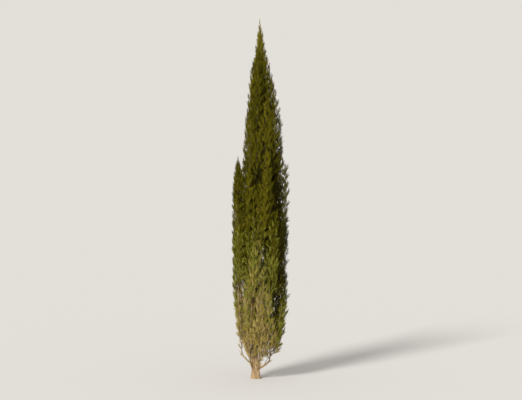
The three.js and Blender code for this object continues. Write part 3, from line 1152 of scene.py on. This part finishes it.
@dataclass(frozen=True)
class Colouring:
    """Which tint a spray has, by its place: heights and widths in metres, shares of the sprays.

    Heights are blurred, so that no tint ends in a line. The thin foot of the crown is dry up to a height
    that falls away on both sides of its middle, so much for each metre to the left and to the right, and
    the dryness fades over no less than its least height. Sprays deep inside the crown take the shade tint,
    painted shade. The right side of the crown, from where it turns away, has painted shade between two
    heights, as the side that the sun leaves in shadow: its sprays take the deep and shade tints, deepest
    below a height. Pale green sprays stand below a height, the first for the rest of the crown and the
    second for its right side, and are rarer near it."""

    blur: float = 0.5
    leader_from: float = 7.35
    leader_share: float = 0.75
    dry_top: float = 3.75
    dry_middle: float = 0.06
    dry_falls: Pair = (3.4, 6.6)
    driest_at: float = 0.5
    least_fade: float = 1.0
    dry_share: float = 1.3
    straw_share: float = 0.7
    # Sprays deeper than this inside the crown's edge take the shade tint, painted shade, at this share.
    shaded: float = 0.19
    shade_share: float = 0.85
    right_from: float = 0.46
    # The right side's painted shade: the heights that it spans, the share of sprays that it darkens, the
    # height below which it is deepest, and the share of those that take the shade tint.
    painted_shade_heights: Pair = (1.9, 5.0)
    painted_shade_share: float = 0.95
    deepest_shade_below: float = 3.4
    deepest_shade_share: float = 0.85
    pale_tops: Pair = (3.5, 2.1)
    pale_fade: float = 0.8
    pale_share: float = 0.5
    odd_share: float = 0.25

    def dryness(self, place: Array, height: float) -> float:
        """Tells how dry the foliage is, by place.

        Args:
            place: where it grows.
            height: the height to judge by.

        Returns:
            From 0 above the thin foot of the crown to 1 at its driest, near the middle and the ground.
        """
        aside = place[0] - self.dry_middle
        top = self.dry_top - self.dry_falls[aside > 0] * abs(aside)
        return min(max((top - height) / max(top - self.driest_at, self.least_fade), 0.0), 1.0)

    def tint(self, place: Array, depth: float, tone: Tint, random: Seeded) -> Tint:
        """Chooses a spray's tint.

        Args:
            place: where the spray grows.
            depth: how far that is inside the crown's edge.
            tone: its shoot's tint.
            random: what draws the two numbers that it takes.

        Returns:
            The tint.
        """
        draw, second = random(), random()
        height = place[2] + self.blur * (second - 0.5)
        if height > self.leader_from:
            return Tint.LEADER if draw < self.leader_share else Tint.FRESH
        dry = self.dryness(place, height)
        # Painted shade: sprays deep inside the crown take the near-black shade tint.
        if dry <= 0 and depth > self.shaded and draw < self.shade_share:
            return Tint.SHADE
        if draw < self.dry_share * dry:
            return Tint.STRAW if second < self.straw_share * dry else Tint.DRY
        right = place[0] > self.right_from
        if 1 - draw < self.pale_share * min((self.pale_tops[right] - height) / self.pale_fade, 1.0):
            return Tint.PALE
        # Painted shade: on the right side between the two heights, sprays are darkened to the deep tint, and
        # lower down to the shade tint, as the side that the sun leaves in shadow.
        if right and self.painted_shade_heights[0] < height < self.painted_shade_heights[1] and draw < self.painted_shade_share:
            in_deepest_shade = height < self.deepest_shade_below and second < self.deepest_shade_share
            return Tint.SHADE if in_deepest_shade else Tint.DEEP
        return TONES[int(draw * len(TONES))] if second < self.odd_share else tone


# The growth of the masses


@dataclass
class Sprays:
    """The places of the sprays, by tint."""

    places: dict[Tint, list[tuple[str, Array, Array, Array, float]]] = field(
        default_factory=lambda: {tint: [] for tint in Tint})

    def add(self, tint: Tint, mass: str, root: Array, along: Array, facing: Array, size: float) -> None:
        """Sets a mass's spray: where it grows from, its direction, the way it faces and its length."""
        self.places[tint].append((mass, root, along, facing, size))

    def mesh(self, tint: Tint) -> bpy.types.Mesh:
        """Gathers the sprays of a tint.

        Args:
            tint: the tint.

        Returns:
            A mesh of one point for each spray, with what its node tree reads.
        """
        _, roots, along, facing, sizes = map(np.array, zip(*self.places[tint]))
        made = bpy.data.meshes.new("spray_points")
        made.from_pydata(roots.tolist(), [], [])
        for name, values in (("along", along), ("facing", facing), ("size", sizes)):
            set_attribute(made, name, values)
        return made

    def masses(self, tint: Tint) -> list[str]:
        """Gives the names of the masses that have sprays of a tint."""
        return sorted({row[0] for row in self.places[tint]})


@dataclass
class Lines:
    """Lines that thin wood follows, each a row of points with a radius at each."""

    points: list[Array] = field(default_factory=list)
    radii: list[Array] = field(default_factory=list)
    masses: set[str] = field(default_factory=set)

    def add(self, mass: str, points: Array, thick: float, thin: float) -> None:
        """Adds one line that tapers.

        Args:
            mass: the name of the mass that it belongs to.
            points: its points, one a row.
            thick: its radius at the first.
            thin: its radius at the last.
        """
        self.points.append(points)
        self.radii.append(np.linspace(thick, thin, len(points)))
        self.masses.add(mass)

    def mesh(self) -> bpy.types.Mesh:
        """Gathers the lines.

        Returns:
            A mesh of edges, with each point's radius.
        """
        counts = [len(line) for line in self.points]
        starts = np.cumsum([0, *counts[:-1]])
        edges = np.vstack([
            np.column_stack([np.arange(start, start + count - 1), np.arange(start + 1, start + count)])
            for start, count in zip(starts, counts)
        ])
        made = bpy.data.meshes.new("wood_lines")
        made.from_pydata(np.vstack(self.points).tolist(), edges.tolist(), [])
        set_attribute(made, "radius", np.concatenate(self.radii))
        return made


class Territory:
    """Tells which mass a place in the crown belongs to: the one whose axis is nearest."""

    def __init__(self, masses: list[Mass]) -> None:
        """Takes note of the masses that share the crown.

        Args:
            masses: the masses.
        """
        self.feet = np.array([mass.foot for mass in masses]) * Mass.STRETCH
        self.axes = np.array([mass.tip for mass in masses]) * Mass.STRETCH - self.feet
        self.sizes = np.sum(self.axes**2, axis=1)

    def distances(self, points: Array) -> Array:
        """Measures how far points lie from the axes.

        Args:
            points: the points, one a row.

        Returns:
            The distances, a row for each point and a column for each mass.
        """
        away = (points * Mass.STRETCH)[:, None] - self.feet[None]
        share = np.clip(np.sum(away * self.axes, axis=2) / self.sizes, 0.0, 1.0)
        return np.linalg.norm(away - share[:, :, None] * self.axes, axis=2)


class Spacing:
    """Keeps the shoots of the whole crown apart, so that they fill it evenly."""

    def __init__(self) -> None:
        """Starts with an empty crown."""
        self.placed = np.zeros((0, 3))

    def add(self, line: Array) -> None:
        """Takes note of a shoot's or leader's line."""
        self.placed = np.vstack([self.placed, line * Mass.STRETCH])

    def openness(self, line: Array) -> float:
        """Gives how far a line keeps from those already placed, on average."""
        away = (line * Mass.STRETCH)[:, None] - self.placed[None]
        return float(np.sqrt(np.sum(away**2, axis=2).min(axis=1)).mean())


@dataclass
class Plume:
    """One mass of foliage as it grows: a leader up its axis, long shoots that swing out from it and
    rise beside it, twigs on the shoots and sprays on the twigs.

    Lengths are in metres and angles in radians. Scatters are the least and the most that a random
    factor may be. Tries are what a twig or spray keeps of its lean, and a spray of its size, when the
    one before would leave the crown.

    Shoots keep apart above their first few points. Their lines keep a plume's radius inside the crown's
    edge, and overlap the room of the masses beside them. A shoot's last twig is a share of its full
    size, and that share rises by 1 over the length of the fade, to 1 at most; it counts less for
    sprays. Sprays may spill a little over the crown's edge, and some are skipped: in the dark inside,
    where it is dry, and at a thin foot."""

    STEPS = 20
    POINTS = 14
    FIRST_POINTS = 4
    CANDIDATES = 9
    FIRST_SEED = 1000
    BEARINGS = 8
    SAMPLES = np.array([0.2, 0.5, 0.8])
    SMOOTHING = 5
    TIE = 1e-6

    mass: Mass
    crown: Crown
    territory: Territory
    spacing: Spacing
    wood: Lines
    twigs: Lines
    sprays: Sprays
    colouring: Colouring = Colouring()
    leader_end: float = 0.94
    leader_tip: float = 0.0030
    stem_lap: float = 0.05
    leafy_bough: float = 0.22
    end_crowding: float = 1.6
    latest_start: float = 0.4
    plume_radius: float = 0.070
    overlap: float = 0.035
    tip_size: float = 0.55
    tip_fade: float = 0.5
    twig_scatter: Pair = (0.75, 1.15)
    twig_lean_scatter: Pair = (0.7, 1.2)
    twig_tries: Triple = (1.0, 0.5, 0.0)
    twig_tip: float = 0.0012
    twig_inset: float = 0.012
    least_rise: float = 0.3
    last_spray: float = 0.97
    spray_evening: float = 0.3
    spray_scatter: Pair = (0.8, 1.15)
    spray_lean_scatter: Pair = (0.6, 1.2)
    spray_turn_scatter: float = 0.3
    spray_tries: tuple[Pair, ...] = ((1.0, 1.0), (0.4, 1.0), (0.0, 0.7))
    spray_lift: float = 0.3
    facing_swing: float = 1.1
    spill: float = 0.007
    spill_scatter: Pair = (-0.6, 1.6)
    stem_gap: float = 0.004
    shade_size: float = 1.3
    shade_skipped: float = 0.32
    dry_skipped: float = 0.66
    foot_skipped: float = 0.6

    def __post_init__(self) -> None:
        """Draws the leader, and counts the shoots by how much of the crown the mass has."""
        self.random = Seeded(self.FIRST_SEED + self.mass.number)
        self.habit = self.mass.growth.value
        self.leader = self.mass.points(np.linspace(0, self.leader_end, self.POINTS))
        self.spacing.add(self.leader)
        turns = 2 * math.pi * np.arange(self.BEARINGS) / self.BEARINGS
        rooms = np.array([self.rooms(self.SAMPLES, level(turn)) for turn in turns])
        area = math.pi * float(np.mean(rooms**2))
        self.shoots = max(self.habit.fewest, round(self.habit.crowding * area))
        if self.mass.round_stem:
            self.shoots = round(self.shoots * self.end_crowding)

    def rooms(self, shares: Array, direction: Array) -> Array:
        """Measures how far the mass's own part of the crown reaches from its axis.

        Args:
            shares: where along the axis, from 0 at the foot to 1 at the tip.
            direction: a level direction.

        Returns:
            For each, the distance to the crown's edge or to where another mass is nearer.
        """
        starts = self.mass.points(shares)
        edges = np.array([self.mass.spire.way_to_edge(start, direction) for start in starts])
        ways = edges[:, None] * np.linspace(0.0, 1.0, self.STEPS)
        points = starts[:, None] + ways[:, :, None] * direction
        distances = self.territory.distances(points.reshape(-1, 3))
        lost = (distances.min(axis=1) < distances[:, self.mass.number] - self.TIE).reshape(ways.shape)
        first = np.argmax(lost, axis=1)
        own = np.where(lost.any(axis=1), ways[np.arange(len(shares)), first] + self.overlap, edges)
        return np.clip(np.minimum(own, edges - self.plume_radius), 0.0, None)

    def grow_leader(self) -> None:
        """Grows the leader with its own twigs, and twigs on the bough below it where the mass is open."""
        mass, line = self.mass, self.leader
        if mass.round_stem:
            line = line[line[:, 2] > mass.spire.stem.end_height - self.stem_lap]
        self.wood.add(mass.name, line, self.crown.leader_radius(mass), self.leader_tip)
        self.clothe(self.leader, mass.out)
        if mass.growth is Growth.OPEN:
            shares = np.linspace(self.leafy_bough, 1.0, self.POINTS)
            self.clothe(bezier(self.crown.bough(mass), shares), mass.out)

    def grow_shoot(self, k: int) -> None:
        """Grows a shoot where the crown is emptiest of those places that are tried.

        Args:
            k: which of the mass's shoots it is.
        """
        tried = [self.shoot_line(k) for _ in range(self.CANDIDATES)]
        line, out = max(tried, key=lambda one: self.spacing.openness(one[0][self.FIRST_POINTS:]))
        self.spacing.add(line[self.FIRST_POINTS:])
        self.twigs.add(self.mass.name, line, self.habit.shoot_radius, self.habit.shoot_tip)
        self.clothe(line, out)

    def shoot_line(self, k: int) -> tuple[Array, Array]:
        """Draws a line for a shoot.

        Args:
            k: which of the mass's shoots it is.

        Returns:
            The line, and the level direction in which it stands off.
        """
        random, habit = self.random, self.habit
        out = level(2 * math.pi * random())
        end = mix(*habit.end, evenly(k))
        start = min(mix(*habit.start, random()), self.latest_start * end)
        reach = math.sqrt(mix(habit.reach[0] ** 2, habit.reach[1] ** 2, random()))
        shares = np.linspace(start, end, self.POINTS)
        rooms = np.pad(self.rooms(shares, out) * reach, self.SMOOTHING // 2, mode="edge")
        rooms = np.convolve(rooms, np.full(self.SMOOTHING, 1 / self.SMOOTHING), mode="valid")
        swing = np.clip((shares - start) / habit.swing, 0.0, 1.0)
        swing = swing * swing * (3 - 2 * swing)
        return self.mass.points(shares) + (rooms * swing)[:, None] * out, out

    def clothe(self, line: Array, out: Array) -> None:
        """Sets twigs along a line, from where its bare part ends to its tip.

        Args:
            line: the points of the leader or shoot.
            out: the level direction in which it stands off.
        """
        random, habit = self.random, self.habit
        steps, ways = measured(line)
        length = ways[-1]
        tone = TONES[int(random() * len(TONES))]
        turn = random()
        count = int((1 - habit.bare) * length / habit.twig_step)
        for index in range(count + 1):
            way = mix(habit.bare * length, length, index / max(count, 1))
            step = min(int(np.searchsorted(ways, way, side="right")) - 1, len(steps) - 1)
            ahead = (line[step + 1] - line[step]) / steps[step]
            start = line[step] + ahead * (way - ways[step])
            taper = min(1.0, self.tip_size + (length - way) / self.tip_fade)
            spread = 0.0
            if index < count:
                spread = math.radians(habit.twig_spread) * random.between(*self.twig_lean_scatter)
            turn += GOLDEN
            self.twig(start, ahead, spread, 2 * math.pi * turn, out, tone, taper)

    def twig(self, start: Array, ahead: Array, spread: float, turn: float, out: Array, tone: Tint,
             taper: float) -> None:
        """Grows one twig with its sprays, more upright where it would leave the crown.

        Args:
            start: where it leaves its shoot.
            ahead: the shoot's direction there.
            spread: the angle between the two.
            turn: the way it leans, as an angle round the shoot.
            out: the level direction in which the shoot stands off.
            tone: its shoot's tint.
            taper: its size beside the habit's.
        """
        random, habit = self.random, self.habit
        length = habit.twig_length * taper * random.between(*self.twig_scatter)
        for part in self.twig_tries:
            way = tilted(ahead, spread * part, turn)
            end = start + way * length
            if way[2] > self.least_rise and self.inset(end) > self.twig_inset:
                break
        else:
            return
        if self.in_stem(end):
            return
        self.twigs.add(self.mass.name, np.array([start, end]), habit.twig_radius, self.twig_tip)
        for index in range(habit.sprays):
            share = (index + 1) / habit.sprays * self.last_spray
            lean = 0.0
            if index < habit.sprays - 1:
                lean = math.radians(habit.spray_spread) * random.between(*self.spray_lean_scatter)
            side = turn + 2 * math.pi * (index * GOLDEN + random() * self.spray_turn_scatter)
            size = habit.spray_length * mix(taper, 1.0, self.spray_evening)
            size *= random.between(*self.spray_scatter)
            self.spray(mix(start, end, share), way, lean, side, out, size, tone)

    def spray(self, root: Array, way: Array, lean: float, side: float, out: Array, size: float,
              tone: Tint) -> None:
        """Sets one spray, more upright or smaller where it would leave the crown.

        Args:
            root: where it grows from.
            way: its twig's direction.
            lean: the angle between the two.
            side: the way it leans, as an angle round the twig.
            out: the level direction in which its shoot stands off.
            size: its length.
            tone: its shoot's tint.
        """
        random = self.random
        facing = level(math.atan2(out[1], out[0]) + random.between(-self.facing_swing, self.facing_swing))
        spill = self.spill * random.between(*self.spill_scatter)
        depth = self.inset(root)
        tint = self.colouring.tint(root, depth, tone, random)
        # Shade-tinted sprays deep inside are painted shade: near-black filler, fewer and larger.
        inside = tint is Tint.SHADE and depth > self.colouring.shaded
        dry = self.colouring.dryness(root, root[2])
        skipped = self.shade_skipped if inside else self.dry_skipped * dry
        if random() < max(skipped, self.foot_share(root)):
            return
        if inside:
            size *= self.shade_size
        for part, share in self.spray_tries:
            along = unit(tilted(way, lean * part, side) + self.spray_lift * UP)
            tip = root + along * size * share
            if self.inset(tip) > -spill and tip[2] < self.crown.main.tree_height:
                break
        else:
            return
        if not self.in_stem(tip):
            self.sprays.add(tint, self.mass.name, root, along, facing, size * share)

    def foot_share(self, place: Array) -> float:
        """Tells how thin the mass is near its foot.

        Args:
            place: a place in the mass.

        Returns:
            The share of sprays that are missing there.
        """
        if not self.habit.thin_foot:
            return 0.0
        foot, tip = self.mass.foot[2], self.mass.tip[2]
        return self.foot_skipped * max(0.0, 1 - (place[2] - foot) / ((tip - foot) * self.habit.thin_foot))

    def inset(self, point: Array) -> float:
        """Gives how far inside the crown's edge a point lies."""
        return float(self.mass.spire.inset(point[None])[0])

    def in_stem(self, point: Array) -> bool:
        """Tells whether a point lies in or close to the main stem.

        Args:
            point: the point.

        Returns:
            Whether it does.
        """
        main = self.crown.main
        if point[2] > main.top:
            return False
        return math.dist(point[:2], main.centre(point[2])[:2]) < main.radius_at(point[2]) + self.stem_gap


# The sub-assemblies


class Slot(Enum):
    """The names of the part's material slots."""

    BARK = "bark"
    FOLIAGE = "foliage"


def hand_over(piece: bpy.types.Object, slot: Slot, nodes: list[str]) -> bpy.types.Object:
    """Sets a finished piece on the tree in place of its solids, and reports it.

    Args:
        piece: the piece.
        slot: not used.
        nodes: the names of the solids that it stands for.

    Returns:
        The piece.
    """
    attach(piece, "root")
    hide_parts(*nodes)
    log.info("%s: %d triangles, stands for %d nodes", piece.name, triangles(piece), len(nodes))
    return piece


@dataclass(frozen=True)
class Tube:
    """A closed round tube, and at each corner the radius and the place in the wood's grain: across
    the limb, and along it."""

    APART = 10.0

    corners: Array
    faces: list[tuple[int, ...]]
    radii: Array
    fibre: Array

    @classmethod
    def round_line(cls, points: Array, radii: Array, sides: int, number: int,
                   upright: bool = False) -> "Tube":
        """Makes the tube round a line.

        Args:
            points: the line, one point for each ring.
            radii: the radius at each ring, or at each ring and side.
            sides: how many sides it has.
            number: which limb it is, so that no two have the same grain.
            upright: whether its rings are level instead of square to its line.

        Returns:
            The tube.
        """
        along = np.tile(UP, (len(points), 1)) if upright else np.gradient(points, axis=0)
        along /= np.linalg.norm(along, axis=1)[:, None]
        across = np.array([1.0, 0.0, 0.0]) - along * along[:, :1]
        across /= np.linalg.norm(across, axis=1)[:, None]
        third = np.cross(along, across)
        angles = 2 * math.pi * np.arange(sides) / sides
        rows = radii if radii.ndim == 2 else radii[:, None]
        rows = np.broadcast_to(rows, (len(points), sides))
        x, y = rows * np.cos(angles), rows * np.sin(angles)
        corners = points[:, None] + x[:, :, None] * across[:, None] + y[:, :, None] * third[:, None]
        ways = np.broadcast_to((measured(points)[1] + cls.APART * number)[:, None], x.shape)
        faces = [
            (row * sides + side, row * sides + (side + 1) % sides,
             (row + 1) * sides + (side + 1) % sides, (row + 1) * sides + side)
            for row in range(len(points) - 1) for side in range(sides)
        ]
        faces.append(tuple(range(sides))[::-1])
        faces.append(tuple(range((len(points) - 1) * sides, len(points) * sides)))
        fibre = np.stack([x, y, ways], axis=2)
        return cls(corners.reshape(-1, 3), faces, rows.reshape(-1), fibre.reshape(-1, 3))


@dataclass(frozen=True)
class ThickWood:
    """The trunk, the second stem and the boughs, with a fine mesh for the bark's relief."""

    crown: Crown = Crown()
    finish: BarkFinish = BarkFinish("bark_stems", (0.600, 0.430, 0.240))
    trunk_rings: int = 260
    ring_crowding: float = 1.35
    trunk_sides: int = 96
    stem_rings: int = 150
    stem_sides: int = 48
    bough_rings: int = 34
    bough_sides: int = 16
    collar: float = 0.7
    collar_length: float = 0.06

    def trunk(self) -> Tube:
        """Makes the trunk's skin, with close rings near the ground.

        Returns:
            The skin.
        """
        stem = self.crown.main
        heights = stem.top * np.linspace(0, 1, self.trunk_rings) ** self.ring_crowding
        angles = 2 * math.pi * np.arange(self.trunk_sides) / self.trunk_sides
        points = np.array([stem.centre(height) for height in heights])
        radii = np.array([stem.radius_at(height) + stem.flare(height, angles) for height in heights])
        return Tube.round_line(points, radii, self.trunk_sides, 0, upright=True)

    def left_stem(self) -> Tube:
        """Makes the second stem's skin.

        Returns:
            The skin.
        """
        stem = self.crown.second
        shares = np.linspace(0, 1, self.stem_rings)
        radii = mix(stem.radius, stem.end_radius, shares)
        return Tube.round_line(stem.line(shares), radii, self.stem_sides, 1)

    def bough(self, mass: Mass) -> Tube:
        """Makes a bough's skin, with a collar where it leaves its stem.

        Args:
            mass: the mass that it carries.

        Returns:
            The skin.
        """
        corners = self.crown.bough(mass)
        shares = np.linspace(0, 1, self.bough_rings)
        points = bezier(corners, shares)
        stem = mass.spire.stem.radius_at(corners[0][2])
        away = np.maximum(np.linalg.norm(points - corners[0], axis=1) - stem, 0.0)
        collar = 1 + self.collar * np.exp(-away / self.collar_length)
        radii = mix(*self.crown.bough_radii(mass), shares) * collar
        return Tube.round_line(points, radii, self.bough_sides, 2 + mass.number)

    def skin(self, name: str, tubes: list[Tube]) -> bpy.types.Mesh:
        """Joins tubes into one mesh, with what the bark's node tree reads.

        Args:
            name: the mesh's name.
            tubes: the tubes.

        Returns:
            The mesh.
        """
        starts = np.cumsum([0, *(len(tube.corners) for tube in tubes)])
        faces = [
            tuple(int(start) + corner for corner in face)
            for tube, start in zip(tubes, starts) for face in tube.faces
        ]
        mesh = bpy.data.meshes.new(name)
        mesh.from_pydata(np.vstack([tube.corners for tube in tubes]).tolist(), [], faces)
        set_attribute(mesh, "radius", np.concatenate([tube.radii for tube in tubes]))
        set_attribute(mesh, "fibre", np.vstack([tube.fibre for tube in tubes]))
        mesh.shade_smooth()
        return mesh

    def build(self, mottle: NodeTree) -> list[bpy.types.Object]:
        """Builds the pieces.

        Args:
            mottle: the shader group that varies the bark's colour.

        Returns:
            The pieces.
        """
        values = {"Finish": self.finish.material(mottle)}
        relief = BarkForm().tree()
        boughs = [mass for mass in self.crown.masses() if not mass.round_stem]
        rows = (
            ("trunk_bark", [self.trunk()], ["trunk"]),
            ("left_stem_bark", [self.left_stem()], ["left_stem"]),
            ("bough_bark", [self.bough(mass) for mass in boughs], [f"bough_{mass.name}" for mass in boughs]),
        )
        return [
            hand_over(make_piece(name, self.skin(name, tubes), relief, values), Slot.BARK, nodes)
            for name, tubes, nodes in rows
        ]


@dataclass
class Foliage:
    """The leaders, twigs and sprays of all the masses."""

    crown: Crown = Crown()
    leaders: Lines = field(default_factory=Lines)
    open_twigs: Lines = field(default_factory=Lines)
    dense_twigs: Lines = field(default_factory=Lines)
    sprays: Sprays = field(default_factory=Sprays)
    pale_wood: TwigFinish = TwigFinish("twig_bark_pale", (0.350, 0.250, 0.132))
    tan_wood: TwigFinish = TwigFinish("twig_bark_tan", (0.430, 0.310, 0.165))
    brown_wood: TwigFinish = TwigFinish("twig_bark_brown", (0.120, 0.088, 0.036))
    leader_sides: int = 6
    twig_sides: int = 3

    def grow(self) -> None:
        """Grows all the leaders, and then a shoot of each mass in turn, so that none takes all the room."""
        masses = self.crown.masses()
        territory, spacing = Territory(masses), Spacing()
        plumes = []
        for mass in masses:
            twigs = self.open_twigs if mass.growth is Growth.OPEN else self.dense_twigs
            plumes.append(Plume(mass, self.crown, territory, spacing, self.leaders, twigs, self.sprays))
        for plume in plumes:
            plume.grow_leader()
        for k in range(max(plume.shoots for plume in plumes)):
            for plume in plumes:
                if k < plume.shoots:
                    plume.grow_shoot(k)

    def wood(self, mottle: NodeTree) -> list[bpy.types.Object]:
        """Builds the leaders and the twigs.

        Args:
            mottle: the shader group that varies their colour.

        Returns:
            The pieces.
        """
        tree = TwigForm().tree()
        rows = (
            ("leaders", self.leaders, self.pale_wood, self.leader_sides),
            ("open_twigs", self.open_twigs, self.tan_wood, self.twig_sides),
            ("dense_twigs", self.dense_twigs, self.brown_wood, self.twig_sides),
        )
        pieces = []
        for name, lines, finish, sides in rows:
            values = {"Sides": sides, "Finish": finish.material(mottle)}
            piece = make_piece(name, lines.mesh(), tree, values)
            pieces.append(hand_over(piece, Slot.BARK, [f"foliage_{mass}" for mass in sorted(lines.masses)]))
        return pieces

    def tints(self, mottle: NodeTree) -> list[bpy.types.Object]:
        """Builds the sprays, a piece for each tint.

        Args:
            mottle: the shader group that varies their colour.

        Returns:
            The pieces.
        """
        tree = FoliageForm().tree()
        pieces = []
        for tint in Tint:
            form = SHADE_SPRAY if tint is Tint.SHADE else SprayForm()
            values = {"Finish": tint.value.material(mottle), **form.values()}
            piece = make_piece(tint.value.name, self.sprays.mesh(tint), tree, values)
            nodes = [f"foliage_{mass}" for mass in self.sprays.masses(tint)]
            pieces.append(hand_over(piece, Slot.FOLIAGE, nodes))
        return pieces

    def build(self, mottle: NodeTree) -> list[bpy.types.Object]:
        """Grows the masses and gives their pieces."""
        self.grow()
        return self.wood(mottle) + self.tints(mottle)


@dataclass(frozen=True)
class Studio:
    """A plain pale floor, soft light from the front left, and a long lens at the photograph's angle."""

    floor_size: float = 400.0
    floor_shade: float = 0.55
    lens: float = 110.0
    clip_end: float = 1000.0
    elevation: float = math.radians(4)
    frame_width: float = 522.0
    frame_height: float = 400.0
    fill: float = 0.90
    sun_bearing: float = math.radians(-128)
    sun_elevation: float = math.radians(38)
    sun_spread: float = math.radians(14)
    sun_strength: float = 3.2
    sky_strength: float = 0.767
    hue: Triple = (1.0, 0.962, 0.905)

    def floor(self) -> None:
        """Lays the floor."""
        half = self.floor_size / 2
        mesh = bpy.data.meshes.new("floor")
        corners = [(-half, -half, 0), (half, -half, 0), (half, half, 0), (-half, half, 0)]
        mesh.from_pydata(corners, [], [(0, 1, 2, 3)])
        paint = bpy.data.materials.new("floor_paint")
        paint.use_nodes = True
        Graph(paint.node_tree).feed(paint.node_tree.nodes["Principled BSDF"], {
            "Base Color": (*[self.floor_shade] * 3, 1.0), "Roughness": 1.0, "Specular IOR Level": 0.0,
        })
        mesh.materials.append(paint)
        floor = add_object("floor", mesh)

    def lights(self) -> None:
        """Sets the sun and the sky."""
        light = bpy.data.lights.new("sun", "SUN")
        light.energy = self.sun_strength
        light.angle = self.sun_spread
        light.color = self.hue
        flat = math.cos(self.sun_elevation)
        towards = Vector((math.cos(self.sun_bearing) * flat, math.sin(self.sun_bearing) * flat,
                          math.sin(self.sun_elevation)))
        add_object("sun", light).rotation_euler = towards.to_track_quat("Z", "Y").to_euler()
        world = bpy.data.worlds.new("studio")
        world.use_nodes = True
        Graph(world.node_tree).feed(world.node_tree.nodes["Background"], {
            "Color": (*self.hue, 1.0), "Strength": self.sky_strength,
        })
        bpy.context.scene.world = world

    def camera(self) -> None:
        """Places the camera so that the tree fills its share of the frame's height."""
        low, high = (Vector(corner) for corner in CAD_BOX)
        data = bpy.data.cameras.new("camera")
        data.lens = self.lens
        data.clip_end = self.clip_end
        tall = (high.z - low.z) / self.fill
        wide = tall * self.frame_width / self.frame_height
        away = wide / 2 / (data.sensor_width / 2 / data.lens)
        centre = (low + high) / 2
        centre.y = 0.0
        back = Vector((0.0, -math.cos(self.elevation), math.sin(self.elevation)))
        camera = add_object("camera", data)
        camera.location = centre + back * away
        camera.rotation_euler = back.to_track_quat("Z", "Y").to_euler()
        bpy.context.scene.camera = camera

    def build(self) -> None:
        """Sets up the whole studio."""
        self.floor()
        self.lights()
        self.camera()
        bpy.context.scene.view_settings.view_transform = "Standard"


def main() -> None:
    """Builds the tree and the studio."""
    logging.basicConfig(level=logging.INFO, format="%(name)s %(message)s")
    mottle = Mottle().group()
    pieces = ThickWood().build(mottle) + Foliage().build(mottle)
    log.info("%d pieces, %d triangles", len(pieces), sum(map(triangles, pieces)))
    Studio().build()
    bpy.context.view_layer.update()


if __name__ == "__main__":
    main()
